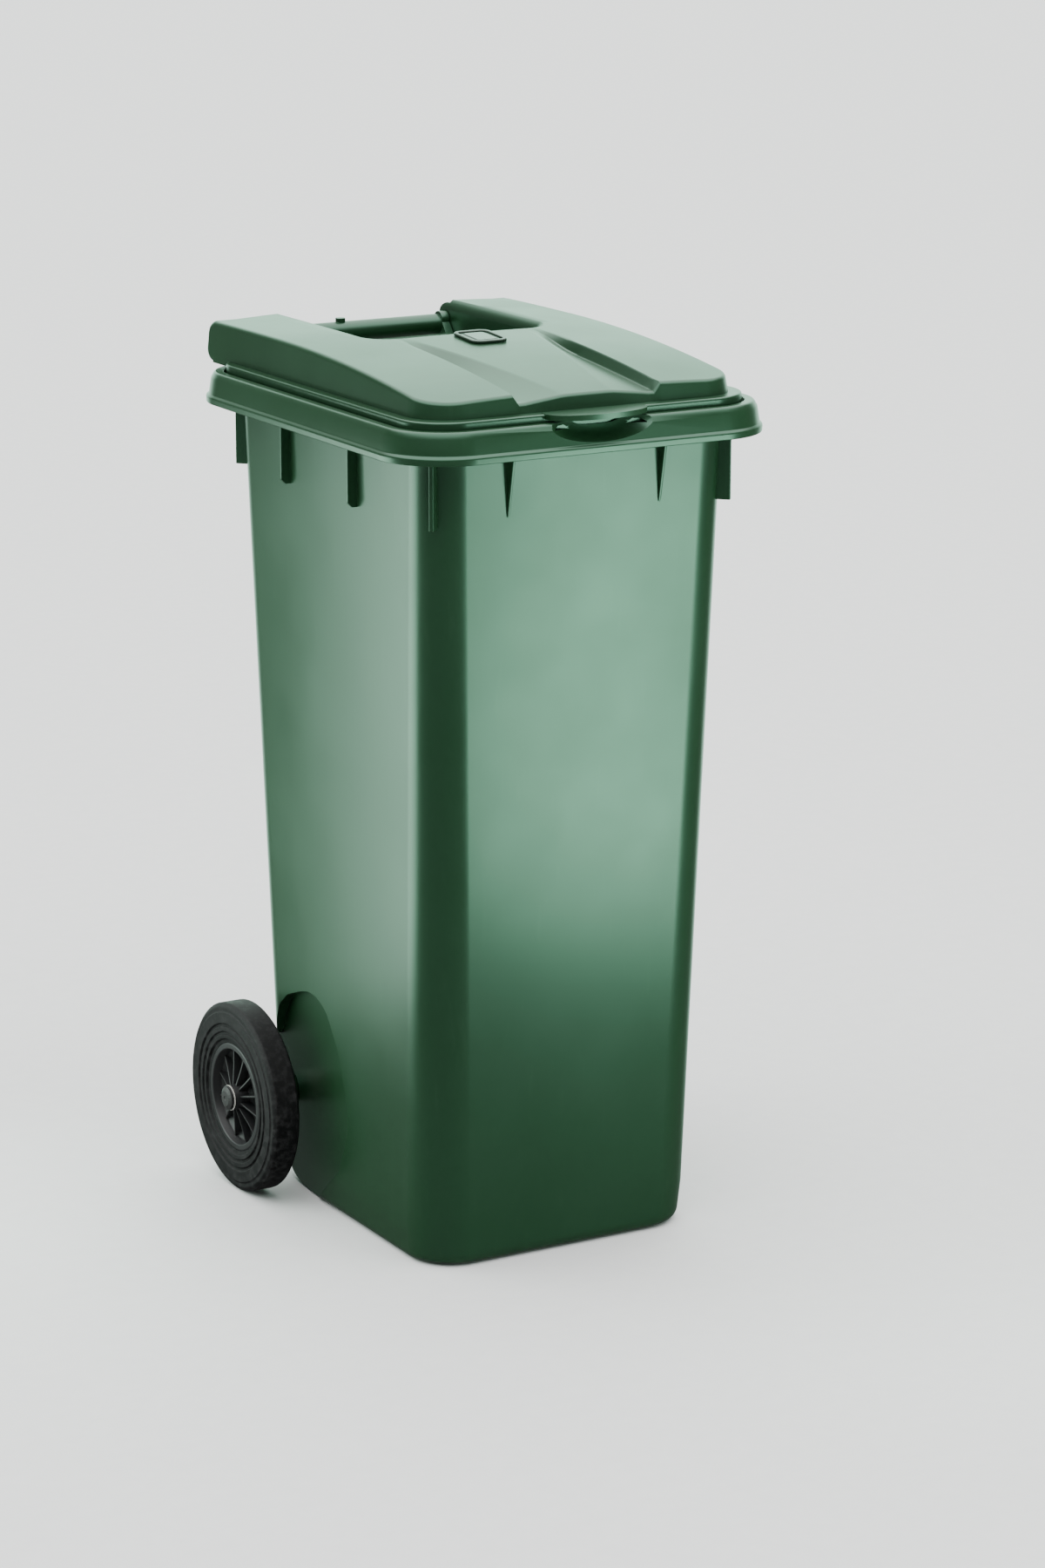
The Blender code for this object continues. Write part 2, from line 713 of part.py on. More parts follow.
def make_lid(pivot, material):
    crown_section = (RIM_SECTION[0], RIM_SECTION[1], CROWN_REAR_Y + CROWN_INSET, 0.086)
    crown = crown_solid(crown_section, CROWN_INSET, 0.0, KNUCKLE_BOTTOM_Z)
    lid = object_from("lid", crown, None, material)
    flange = [
        ring(RIM_SECTION, FLANGE_INSET + 0.0004, LEDGE_Z + GAP),
        ring(RIM_SECTION, FLANGE_INSET, 0.982),
        ring(RIM_SECTION, FLANGE_INSET, FLANGE_TOP_Z - 0.004),
        ring(RIM_SECTION, FLANGE_INSET + 0.001, FLANGE_TOP_Z - 0.001),
        ring(RIM_SECTION, FLANGE_INSET + 0.004, FLANGE_TOP_Z),
    ]
    add(lid, loft(flange))
    beside_handle = box_outline(-SHOULDER_INNER_X, SHOULDER_INNER_X, DECK_REAR_Y, CUTTER_REAR_Y)
    cut(lid, prism(beside_handle, 0.950, CUTTER_TOP_Z))
    hollow_lid(lid, crown_section)
    add_knuckles(lid)
    cut(lid, notch(0.0))
    add_lip(lid)
    weld(lid)
    lid.data.transform(Matrix.Translation((0, -HINGE_Y, -HINGE_Z)))
    lid.parent = pivot


# ---------------------------------------------------------------- hinge pins and badge
def make_hinge_pin(name, side, parent, material):
    profile = [
        (side * PIN_INNER_X, 0),
        (side * PIN_INNER_X, PIN_RADIUS - 0.001),
        (side * (PIN_INNER_X + 0.001), PIN_RADIUS),
        (side * PIN_HEAD_X, PIN_RADIUS),
        (side * PIN_HEAD_X, 0.008),
        (side * (PIN_HEAD_X + 0.004), 0.007),
        (side * (PIN_HEAD_X + 0.004), 0),
    ]
    pin = object_from(name, turned(profile, 16, closed=False), parent, material, smooth=True)
    pin.location = (0, HINGE_Y, HINGE_Z)
    return pin


def centred_section(width, length, radius):
    return width / 2, -length / 2, length / 2, radius


def make_badge(pivot, frame_material, plate_material):
    """A raised frame round a blank plate, lying on the slope of the middle panel."""
    slope = (crown_height(0, BADGE_Y + 0.010) - crown_height(0, BADGE_Y - 0.010)) / 0.020
    base_z = crown_height(0, BADGE_Y) + 0.0006
    frame_section = centred_section(BADGE_WIDTH, BADGE_LENGTH, BADGE_CORNER)
    border = BADGE_BORDER
    rings = (
        (0.0, 0.0), (0.0, 0.0022), (0.0008, 0.003), (border - 0.0008, 0.003),
        (border, 0.0022), (border, 0.0),
    )
    loops = [ring(frame_section, inset, z) for inset, z in rings]
    frame = object_from("badge_frame", closed_band(loops), pivot, frame_material)
    plate_loops = [
        ring(frame_section, border + GAP, 0.0),
        ring(frame_section, border + GAP, 0.0012),
        ring(frame_section, border + 0.0045, 0.0012),
        ring(frame_section, border + 0.0060, 0.0022),
    ]
    plate = object_from("badge_plate", loft(plate_loops), pivot, plate_material)
    for piece in (frame, plate):
        piece.location = (0, BADGE_Y - HINGE_Y, base_z - HINGE_Z)
        piece.rotation_euler = (math.atan(slope), 0, 0)


def closed_band(loops):
    """Join rings into a closed band: the last ring meets the first."""
    bm = bmesh.new()
    rows = [[bm.verts.new(point) for point in loop] for loop in loops]
    for here, there in zip(rows, rows[1:] + rows[:1]):
        for i in range(len(here)):
            j = (i + 1) % len(here)
            bm.faces.new((here[i], here[j], there[j], there[i]))
    return bm


# ---------------------------------------------------------------- wheels and axle
def sleeve(low, high, inner_radius, outer_radius, segments=SMALL_SEGMENTS):
    bore = inner_radius / math.cos(math.pi / segments)
    return turned([(low, bore), (low, outer_radius), (high, outer_radius), (high, bore)], segments)


def make_tyre(name, pivot, material):
    bore = RIM_OUTER_RADIUS + GAP
    half = TYRE_HALF_WIDTH
    right = [
        (half - 0.0045, bore),
        (half - 0.0035, 0.072),
        (half - 0.0010, 0.074),
        (half, 0.080),
        (half, TYRE_RADIUS - 0.007),
        (half - 0.0020, TYRE_RADIUS - 0.002),
        (half - 0.0070, TYRE_RADIUS),
    ]
    left = [(-x, radius) for x, radius in reversed(right)]
    return object_from(name, turned(right + left, WHEEL_SEGMENTS), pivot, material, smooth=True)


def make_wheel_rim(name, side, pivot, material):
    """Barrel, web and hub in one turning, with radial fins on the outer face."""
    barrel_half = 0.0145
    bore = (BUSH_RADIUS + GAP) / math.cos(math.pi / WHEEL_SEGMENTS)
    profile = [
        (-0.0185, bore), (-0.0185, HUB_RADIUS - 0.001), (-0.0030, HUB_RADIUS),
        (-0.0015, 0.058), (-barrel_half, 0.061), (-barrel_half, RIM_OUTER_RADIUS),
        (barrel_half, RIM_OUTER_RADIUS), (barrel_half, 0.058), (0.0045, 0.055),
        (0.0000, 0.022), (0.0020, HUB_RADIUS), (0.0200, HUB_RADIUS - 0.002), (0.0200, bore),
    ]
    profile = [(side * x, radius) for x, radius in profile]
    rim = object_from(name, turned(profile, WHEEL_SEGMENTS), None, material)
    for index in range(FIN_COUNT):
        fin_side = [(0.0145, -0.002), (0.0145, 0.014), (0.040, 0.0085), (0.058, 0.0065), (0.058, -0.001)]
        low, high = -0.0011, 0.0011
        rings = [[Vector((side * s, t, r)) for r, s in fin_side] for t in (low, high)]
        fin = loft(rings)
        fin.transform(Matrix.Rotation(2 * math.pi * (index + 0.5) / FIN_COUNT, 4, "X"))
        add(rim, fin)
    weld(rim)
    rim.data.shade_smooth()
    rim.data.set_sharp_from_angle(angle=math.radians(35))
    rim.parent = pivot


def make_bush(name, face_x, body_x, pivot, material):
    """Flanged nylon bush: a flange outside the hub and a sleeve inside it."""
    direction = 1 if face_x > body_x else -1
    flange_x = face_x - direction * 0.0012
    bore = (AXLE_RADIUS + GAP) / math.cos(math.pi / SMALL_SEGMENTS)
    profile = [
        (face_x, bore), (face_x, BUSH_FLANGE_RADIUS), (flange_x, BUSH_FLANGE_RADIUS),
        (flange_x, BUSH_RADIUS), (body_x, BUSH_RADIUS), (body_x, bore),
    ]
    return object_from(name, turned(profile, SMALL_SEGMENTS), pivot, material, smooth=True)


def make_axle_cap(name, side, parent, material):
    """Push-on steel cap over the axle's end, with a dimple in its middle."""
    start = CAP_START_X
    end = CAP_END_X
    dimple_x = end - 0.0008
    inner_x = AXLE_END_X + GAP
    bore = (AXLE_RADIUS + GAP) / math.cos(math.pi / SMALL_SEGMENTS)
    profile = [
        (inner_x, 0), (inner_x, bore), (start, bore), (start, CAP_RADIUS),
        (start + 0.0014, CAP_RADIUS), (end, 0.0095), (end, 0.0030), (dimple_x, 0.0022), (dimple_x, 0),
    ]
    profile = [(side * x, radius) for x, radius in profile]
    bm = turned(profile, SMALL_SEGMENTS, closed=False)
    return object_from(name, bm, parent, material, smooth=True)


def make_axle(parent, material):
    chamfer = 0.0012
    end = AXLE_END_X
    profile = [
        (-end, 0), (-end, AXLE_RADIUS - chamfer), (-end + chamfer, AXLE_RADIUS),
        (end - chamfer, AXLE_RADIUS), (end, AXLE_RADIUS - chamfer), (end, 0),
    ]
    bm = turned(profile, SMALL_SEGMENTS, closed=False)
    axle = object_from("axle", bm, parent, material, smooth=True)
    axle.location = (0, AXLE_Y, AXLE_Z)


def make_wheel_set(side, parent, materials):
    word = "left" if side < 0 else "right"
    pivot = add_empty(f"{word}_wheel_pivot", (side * WHEEL_X, AXLE_Y, AXLE_Z), parent)
    make_tyre(f"{word}_tyre", pivot, materials["rubber"])
    make_wheel_rim(f"{word}_wheel_rim", side, pivot, materials["rim_plastic"])
    make_bush(f"{word}_inner_bush", side * -0.0200, side * -0.0060, pivot, materials["nylon"])
    make_bush(f"{word}_outer_bush", side * 0.0215, side * 0.0060, pivot, materials["nylon"])
    axle_line = add_empty(f"{word}_axle_end", (0, AXLE_Y, AXLE_Z), parent)
    low, high = sorted((side * (BOSS_END_X + GAP), side * (0.2080 - GAP)))
    spacer = sleeve(low, high, AXLE_RADIUS + GAP, 0.0150)
    object_from(f"{word}_spacer", spacer, axle_line, materials["nylon"], smooth=True)
    low, high = sorted((side * 0.2498, side * 0.2510))
    washer = sleeve(low, high, AXLE_RADIUS + GAP, 0.0150)
    object_from(f"{word}_washer", washer, axle_line, materials["steel"], smooth=True)
    make_axle_cap(f"{word}_axle_cap", side, axle_line, materials["steel"])


# ---------------------------------------------------------------- assembly
def main():
    clear_scene()
    materials = {
        "green": make_material("green_plastic", (0.021, 0.127, 0.038), 0.28),
        "rubber": make_material("black_rubber", (0.018, 0.018, 0.019), 0.75),
        "rim_plastic": make_material("dark_grey_plastic", (0.045, 0.047, 0.050), 0.45),
        "nylon": make_material("natural_nylon", (0.55, 0.54, 0.50), 0.5),
        "steel": make_material("zinc_plated_steel", (0.56, 0.57, 0.58), 0.32, 1.0),
        "badge_dark": make_material("badge_dark_plastic", (0.010, 0.035, 0.016), 0.35),
        "badge_pale": make_material("badge_pale_plastic", (0.52, 0.58, 0.54), 0.35),
        "black": make_material("black_plastic", (0.02, 0.02, 0.02), 0.4),
    }
    bin_origin = add_empty("bin_origin", (0, RIM_CENTRE_Y, 0))
    make_body(bin_origin, materials["green"])
    lid_pivot = add_empty("lid_pivot", (0, HINGE_Y, HINGE_Z), bin_origin)
    make_lid(lid_pivot, materials["green"])
    make_badge(lid_pivot, materials["badge_dark"], materials["badge_pale"])
    make_hinge_pin("left_hinge_pin", -1, bin_origin, materials["black"])
    make_hinge_pin("right_hinge_pin", 1, bin_origin, materials["black"])
    make_axle(bin_origin, materials["steel"])
    for side in (-1, 1):
        make_wheel_set(side, bin_origin, materials)


main()
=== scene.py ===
"""Studio scene of a two-wheeled waste bin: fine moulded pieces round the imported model."""
import math

import bmesh
import bpy
from mathutils import Matrix, Vector
from mathutils.geometry import delaunay_2d_cdt


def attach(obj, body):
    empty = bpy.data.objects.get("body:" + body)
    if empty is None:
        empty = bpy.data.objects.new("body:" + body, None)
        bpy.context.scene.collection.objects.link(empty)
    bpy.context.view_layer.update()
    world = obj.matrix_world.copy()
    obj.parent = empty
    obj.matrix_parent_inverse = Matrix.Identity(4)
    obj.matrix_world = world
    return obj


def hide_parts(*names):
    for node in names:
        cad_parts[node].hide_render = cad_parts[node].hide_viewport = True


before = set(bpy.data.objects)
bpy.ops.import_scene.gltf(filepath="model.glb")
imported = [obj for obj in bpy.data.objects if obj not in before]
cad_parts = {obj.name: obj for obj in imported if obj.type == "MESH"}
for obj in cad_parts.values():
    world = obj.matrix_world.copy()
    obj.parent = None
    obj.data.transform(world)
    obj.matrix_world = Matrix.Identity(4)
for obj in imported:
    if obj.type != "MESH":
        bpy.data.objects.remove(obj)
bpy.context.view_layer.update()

# ---------------------------------------------------------------- dimensions, in metres
MODEL_Y = -0.0045           # the shapes below are drawn about the middle of the rim
GAP = 0.0003                # between pieces that touch

# Tub. A section is (half width, front y, rear y, corner radius).
BASE_SECTION = (0.180, -0.203, 0.208, 0.056)
NECK_SECTION = (0.197, -0.242, 0.247, 0.047)
NECK_Z = 0.955
RIM_SECTION = (0.240, -0.285, 0.285, 0.080)
WALL = 0.004
FLOOR_Z = 0.007
FRONT_HEEL_RADIUS = 0.014
REAR_HEEL_RADIUS = 0.045
SIDE_HEEL_RADIUS = 0.010
CREASE_Z = 0.048
CREASE_INSET = 0.004
RIM_TOP_Z = 0.9855
LEDGE_Z = 0.979
LEDGE_INSET = 0.022
BEAD_Z = 0.950
SKIRT_WALL = 0.0035
SCOOP_BLOCK_HALF = 0.0745   # thicker piece of skirt that the finger scoop is cut from
SCOOP_BLOCK_LEVELS = ((0.9545, 0.0022), (0.9775, 0.0085))   # (z, inset from the rim's outline)
SCOOP_RADII = (0.074, 0.030, 0.0255)

# Ribs under the rim
SIDE_RIB_YS = (0.097, -0.068)
SIDE_RIB_REACH = 0.0105
SIDE_RIB_THICKNESS = 0.005
FRONT_RIB_X = 0.097
FRONT_RIB_THICKNESS = 0.0035
CORNER_RIB_REACH = 0.013
RIB_BOTTOM_Z = 0.872
RIB_ROOT = 0.0025           # how far a rib's foot is sunk into the wall
RIB_CHAMFER = 0.006
FRONT_RIB_REACH = 0.017
FRONT_RIB_TIP = 0.007       # its point is this far above the other ribs' bottoms

# Axle, wheels, and the hollows they sit in
AXLE_Y = 0.172
AXLE_Z = 0.115
AXLE_RADIUS = 0.010
TYRE_RADIUS = 0.115
TYRE_HALF_WIDTH = 0.019
WHEEL_X = 0.228
RIM_OUTER_RADIUS = 0.0657
HUB_RADIUS = 0.017
BUSH_RADIUS = 0.013
FIN_COUNT = 12
FIN_HALF_THICKNESS = 0.0011
FIN_OUTLINE = (             # (radius, x)
    (0.0150, -0.0015), (0.0150, 0.0145), (0.0380, 0.0100), (0.0560, 0.0075), (0.0560, -0.0010),
)
BOSS_RADIUS = 0.017
BOSS_START_X = 0.130
BOSS_END_X = 0.190
WEB_SPANS = ((0.055, 0.060), (0.110, 0.115), (0.156, 0.162))
WEB_REAR_Y = 0.204
WEB_OVERLAP = 0.002         # how far a web reaches into the channel's wall
POCKET_SLOPE = 0.070
POCKET_EDGE_DEPTH = 0.0015
POCKET_START_Y = -0.008
POCKET_OUTER_X = 0.225      # outside the tub
CHANNEL_RADIUS = 0.030

# Lid
FLANGE_INSET = 0.024
FLANGE_TOP_Z = 0.994
FLANGE_FILLET = 0.003
CROWN_CORNER = 0.086        # corner radius of the outline that the crown is inset from
CROWN_INSET = 0.036
CROWN_LEAN = 0.004          # how far its side walls lean in towards the top
CROWN_FILLET = 0.0055
CROWN_REAR_Y = 0.350        # its sides run straight back to here before they are trimmed
CREST_Y = 0.120
CREST_Z = 1.0365
CREST_CURVE = 0.198
REAR_CURVE = 0.05
SIDE_DROP = 0.006           # the crown is this much higher in the middle than at its sides
CROWN_HALF_WIDTH = 0.198
PANEL_REAR_Y = 0.038
GUTTER_FOOT_X = 0.086
GUTTER_EDGE_X = 0.092
GUTTER_DEPTH = 0.0125
GUTTER_RISE = 0.0015        # its foot comes up by this much near the front
CREASE_FRONT_X = 0.032      # the flat middle narrows to this half width at the front
CREASE_BAND = 0.003         # points beside each crease, this far from it, keep it crisp
CREASE_REAR_Y = 0.010
PANEL_DEPTH = 0.0058
PANEL_LENGTH = 0.290
DECK_Z = 1.004              # floor of the well between the shoulders
WELL_TOP_Z = 1.0412
WELL_EDGE_RADIUS = 0.014    # rounding along the well's top edges
WELL_EDGE_STEPS = 9
WELL_CORNER_RADIUS = 0.030
CUTTER_BOTTOM_Z = 0.950     # below, above and behind everything on the lid
CUTTER_TOP_Z = 1.080
CUTTER_REAR_Y = 0.400
SHOULDER_INNER_X = 0.112
DECK_REAR_Y = 0.249
LID_WALL = 0.0035
LID_SIDE_WALL = 0.004
HOLLOW_REAR_Y = 0.262
HOLLOW_FILLET = 0.004
HOLLOW_BOTTOM_Z = 0.960
HOLLOW_TRIM_REAR_Y = 0.300  # behind the hollow
LIP_HALF_WIDTH = 0.063
LIP_FRONT_Y = -0.291
LIP_BOTTOM_Z = 0.9885
LIP_ROOT_Y = -0.252
LIP_FULLNESS = 0.8          # below 1 makes the lip's front squarer than an ellipse
LIP_STEPS = 48

# Hinge and grab handle
HINGE_Y = 0.283
HINGE_Z = 1.0155
KNUCKLE_Y = 0.278
KNUCKLE_HALF = 0.022
KNUCKLE_BOTTOM_Z = 0.988
KNUCKLE_TOP_Z = 1.0355
KNUCKLE_CORNER = 0.016
KNUCKLE_END_X = 0.2035
KNUCKLE_END_RADIUS = 0.006
CROWN_WALL_HEIGHT = 0.042   # from the knuckles' underside to the top edge beside them
LUG_RADIUS = 0.0105
PEG_X = -0.031
PEG_HALF = 0.0055
PEG_CORNER = 0.0042
PEG_TOP_Z = 1.027
PIN_POCKET_HALF = 0.012
LUG_INNER_X = 0.101
LUG_OUTER_X = 0.111
PIN_RADIUS = 0.005
PIN_HEAD_X = 0.152
HANDLE_Y = 0.285
HANDLE_Z = 1.0102
HANDLE_RADIUS = 0.0123
HAND_GAP_HALF = 0.097
HAND_GAP_Y = 0.251
HAND_GAP_CUT = (0.300, 0.930, 1.000)    # the cutter's rear y, bottom z and top z

# Fineness of the curves
CORNER_STEPS = 20
SIDE_POINTS = 40            # extra points along each straight side of the crown's edge
EDGE_CLEARANCE = 0.004      # inner points of the crown stay this far inside its edge
FILLET_STEPS = 7
WHEEL_SEGMENTS = 144
SMALL_SEGMENTS = 48

# Camera and studio
CAMERA_PLACE = (-2.43486, -4.36701, 1.80267)
CAMERA_TARGET = (0.00499, -0.09287, 0.53175)
CAMERA_ROLL = 0.07          # degrees
CAMERA_LENS = 101.0         # millimetres, on a sensor 36 mm wide

FLOOR_HALF = 40.0
FLOOR_DROP = 0.0005
OVERHEAD_GLOW = 3.5
OVERHEAD_RANGE = (0.45, 0.80)           # sine of the height where the glow starts and is full
BACK_GLOW = 3.0
BACK_DIRECTION = (0.495, 0.869, 0)
BACK_RANGE = (0.66, 0.94)               # cosine of the angle to that direction
BACK_HEIGHT_RANGE = (-0.36, -0.28)
BACK_TINT = (0.66, 1.0, 0.82, 1.0)
BASE_GLOW = 0.12
PANEL_TINT = (0.80, 1.0, 0.90)
PANEL_BEAM = 120.0                      # degrees
PANELS = (                              # name, place, target, width, height, watts
    ("side_panel", (-0.853, 0.454, 0.44), (-0.19, -0.22, 0.47), 0.67, 0.82, 4.4),
    ("front_panel", (0.612, -1.166, 0.47), (0.056, -0.217, 0.84), 0.37, 0.90, 4.2),
)


# ---------------------------------------------------------------- camera
def in_world(point):
    """A point of the drawing above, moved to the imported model's frame."""
    x, y, z = point
    return x, y + MODEL_Y, z


def aim(thing, target, roll=0.0):
    direction = Vector(target) - thing.location
    turn = direction.to_track_quat("-Z", "Y")
    thing.rotation_mode = "QUATERNION"
    thing.rotation_quaternion = turn @ Matrix.Rotation(math.radians(roll), 3, "Z").to_quaternion()


def add_camera():
    data = bpy.data.cameras.new("camera")
    data.lens = CAMERA_LENS
    data.sensor_width = 36.0
    camera = bpy.data.objects.new("camera", data)
    camera.location = in_world(CAMERA_PLACE)
    bpy.context.scene.collection.objects.link(camera)
    aim(camera, in_world(CAMERA_TARGET), CAMERA_ROLL)
    bpy.context.scene.camera = camera


add_camera()


# ---------------------------------------------------------------- node materials
def new_material(name):
    material = bpy.data.materials.new(name)
    material.use_nodes = True
    return material, material.node_tree, material.node_tree.nodes["Principled BSDF"]


def node(tree, kind, **settings):
    made = tree.nodes.new(kind)
    for key, value in settings.items():
        setattr(made, key, value)
    return made


def coordinates(tree, scale=(1.0, 1.0, 1.0)):
    source = node(tree, "ShaderNodeTexCoord")
    mapping = node(tree, "ShaderNodeMapping")
    mapping.inputs["Scale"].default_value = scale
    tree.links.new(source.outputs["Object"], mapping.inputs["Vector"])
    return mapping.outputs["Vector"]


def noise(tree, vector, scale, detail=3.0, rough=0.5):
    made = node(tree, "ShaderNodeTexNoise")
    made.inputs["Scale"].default_value = scale
    made.inputs["Detail"].default_value = detail
    made.inputs["Roughness"].default_value = rough
    tree.links.new(vector, made.inputs["Vector"])
    return made.outputs["Fac"]


def spread(tree, value, low, high, from_low=0.3, from_high=0.7):
    made = node(tree, "ShaderNodeMapRange")
    made.inputs["From Min"].default_value = from_low
    made.inputs["From Max"].default_value = from_high
    made.inputs["To Min"].default_value = low
    made.inputs["To Max"].default_value = high
    tree.links.new(value, made.inputs["Value"])
    return made.outputs["Result"]


def mix_colour(tree, share, first, second):
    made = node(tree, "ShaderNodeMix", data_type="RGBA")
    tree.links.new(share, made.inputs["Factor"])
    for socket, value in ((made.inputs[6], first), (made.inputs[7], second)):
        if isinstance(value, tuple):
            socket.default_value = (*value, 1.0)
        else:
            tree.links.new(value, socket)
    return made.outputs[2]


def bump(tree, height, distance, strength=1.0, under=None):
    made = node(tree, "ShaderNodeBump")
    made.inputs["Strength"].default_value = strength
    made.inputs["Distance"].default_value = distance
    tree.links.new(height, made.inputs["Height"])
    if under is not None:
        tree.links.new(under, made.inputs["Normal"])
    return made.outputs["Normal"]


def plastic(name, dark, light, roughness, grain_scale=900.0, grain=0.00004, wave=0.0006, tint=None):
    """Moulded plastic: faint colour drift, fine grain, slow waviness and light scuffs.

    A tint colours its reflections too, and makes them stronger.
    """
    material, tree, shader = new_material(name)
    plain = coordinates(tree)
    drift = noise(tree, plain, 2.2, 3.0)
    colour = mix_colour(tree, spread(tree, drift, 0.0, 1.0), dark, light)
    drawn = coordinates(tree, (1.0, 1.0, 0.12))
    streak = noise(tree, drawn, 95.0, 4.0, 0.6)
    streak_share = spread(tree, streak, 0.0, 0.25, 0.60, 0.80)
    pale = tuple(min(1.0, channel * 1.35 + 0.012) for channel in light)
    colour = mix_colour(tree, streak_share, colour, pale)
    tree.links.new(colour, shader.inputs["Base Color"])
    patches = noise(tree, plain, 7.0, 4.0, 0.55)
    low, high = roughness
    tree.links.new(spread(tree, patches, low, high), shader.inputs["Roughness"])
    slow = bump(tree, noise(tree, plain, 5.0, 1.0), wave, 0.6)
    fine = bump(tree, noise(tree, plain, grain_scale, 2.0), grain, 0.35, slow)
    tree.links.new(fine, shader.inputs["Normal"])
    shader.inputs["IOR"].default_value = 1.5
    if tint:
        shader.inputs["Specular IOR Level"].default_value = 1.0
        shader.inputs["Specular Tint"].default_value = (*tint, 1.0)
    return material


def rubber():
    material, tree, shader = new_material("tyre_rubber")
    plain = coordinates(tree)
    mottle = noise(tree, plain, 120.0, 5.0, 0.65)
    share = spread(tree, mottle, 0.0, 1.0, 0.45, 0.70)
    colour = mix_colour(tree, share, (0.0030, 0.0030, 0.0034), (0.020, 0.020, 0.0205))
    tree.links.new(colour, shader.inputs["Base Color"])
    tree.links.new(spread(tree, mottle, 0.58, 0.84), shader.inputs["Roughness"])
    shader.inputs["Specular IOR Level"].default_value = 0.3
    coarse = bump(tree, mottle, 0.0005, 0.5)
    fine = bump(tree, noise(tree, plain, 700.0, 2.0), 0.0001, 0.5, coarse)
    tree.links.new(fine, shader.inputs["Normal"])
    return material


def metal(name, dark, light, roughness):
    material, tree, shader = new_material(name)
    plain = coordinates(tree)
    spangle = noise(tree, plain, 160.0, 3.0)
    colour = mix_colour(tree, spread(tree, spangle, 0.0, 1.0), dark, light)
    tree.links.new(colour, shader.inputs["Base Color"])
    tree.links.new(spread(tree, spangle, *roughness), shader.inputs["Roughness"])
    shader.inputs["Metallic"].default_value = 1.0
    tree.links.new(bump(tree, spangle, 0.0001, 0.3), shader.inputs["Normal"])
    return material


MATERIALS = {
    "green": plastic(
        "moulded_green", (0.0085, 0.034, 0.0125), (0.0100, 0.039, 0.0145), (0.28, 0.34),
        tint=(0.55, 1.0, 0.76),
    ),
    "rubber": rubber(),
    "rim": plastic(
        "dark_grey_plastic", (0.012, 0.0125, 0.013), (0.018, 0.0185, 0.0195), (0.38, 0.52),
        grain_scale=600.0, grain=0.00008, wave=0.0002,
    ),
    "nylon": plastic(
        "natural_nylon", (0.50, 0.49, 0.45), (0.60, 0.59, 0.55), (0.40, 0.55),
        grain_scale=500.0, grain=0.00006, wave=0.0002,
    ),
    "steel": metal("zinc_plate", (0.46, 0.47, 0.48), (0.66, 0.67, 0.68), (0.24, 0.42)),
    "dull_steel": metal("dull_washer_steel", (0.10, 0.10, 0.105), (0.17, 0.17, 0.175), (0.42, 0.58)),
    "badge_dark": plastic("badge_dark_green", (0.008, 0.026, 0.013), (0.012, 0.036, 0.018), (0.25, 0.35)),
    "badge_plate": plastic(
        "badge_plate_plastic", (0.028, 0.062, 0.042), (0.036, 0.076, 0.052), (0.16, 0.24)
    ),
    "black": plastic("black_plastic", (0.016, 0.016, 0.016), (0.026, 0.026, 0.026), (0.50, 0.66)),
}


# ---------------------------------------------------------------- mesh helpers
def object_from(name, bm):
    bmesh.ops.recalc_face_normals(bm, faces=bm.faces)
    mesh = bpy.data.meshes.new(name)
    bm.to_mesh(mesh)
    bm.free()
    made = bpy.data.objects.new(name, mesh)
    bpy.context.scene.collection.objects.link(made)
    return made


def rounded_outline(section, inset=0.0, steps=CORNER_STEPS, sides=0):
    """Points round a rectangle with round corners; sides adds points along its flat sides."""
    half_width, front, rear, radius = section
    half_width -= inset
    front += inset
    rear -= inset
    radius = max(radius - inset, 0.004)
    corners = (
        (half_width - radius, rear - radius, 0),
        (radius - half_width, rear - radius, 90),
        (radius - half_width, front + radius, 180),
        (half_width - radius, front + radius, 270),
    )
    points = []
    for centre_x, centre_y, start in corners:
        for step in range(steps + 1):
            angle = math.radians(start + 90 * step / steps)
            points.append((centre_x + radius * math.cos(angle), centre_y + radius * math.sin(angle)))
    if not sides:
        return points
    filled = []
    for index, point in enumerate(points):
        filled.append(point)
        if index % (steps + 1) == steps:
            after = points[(index + 1) % len(points)]
            for step in range(1, sides + 1):
                share = step / (sides + 1)
                filled.append(tuple(a + (b - a) * share for a, b in zip(point, after)))
    return filled


def ring(section, inset, z, sides=0):
    return [Vector((x, y, z)) for x, y in rounded_outline(section, inset, CORNER_STEPS, sides)]


def loft(rings):
    """A closed solid through rings that all have the same number of points."""
    bm = bmesh.new()
    loops = [[bm.verts.new(point) for point in points] for points in rings]
    count = len(loops[0])
    for lower, upper in zip(loops, loops[1:]):
        for i in range(count):
            j = (i + 1) % count
            bm.faces.new((lower[i], lower[j], upper[j], upper[i]))
    bm.faces.new(loops[0])
    bm.faces.new(loops[-1])
    return bm


def prism(outline, low, high, axis="Z"):
    """An outline of (a, b) points drawn out along an axis, between two levels."""
    place = {
        "X": lambda a, b, t: Vector((t, a, b)),
        "Y": lambda a, b, t: Vector((a, t, b)),
        "Z": lambda a, b, t: Vector((a, b, t)),
    }[axis]
    return loft([[place(a, b, t) for a, b in outline] for t in (low, high)])


def arc(centre, radius, start, end, steps):
    points = []
    for step in range(steps + 1):
        angle = math.radians(start + (end - start) * step / steps)
        points.append((centre[0] + radius * math.cos(angle), centre[1] + radius * math.sin(angle)))
    return points


def box_outline(low_a, high_a, low_b, high_b):
    return [(low_a, low_b), (high_a, low_b), (high_a, high_b), (low_a, high_b)]


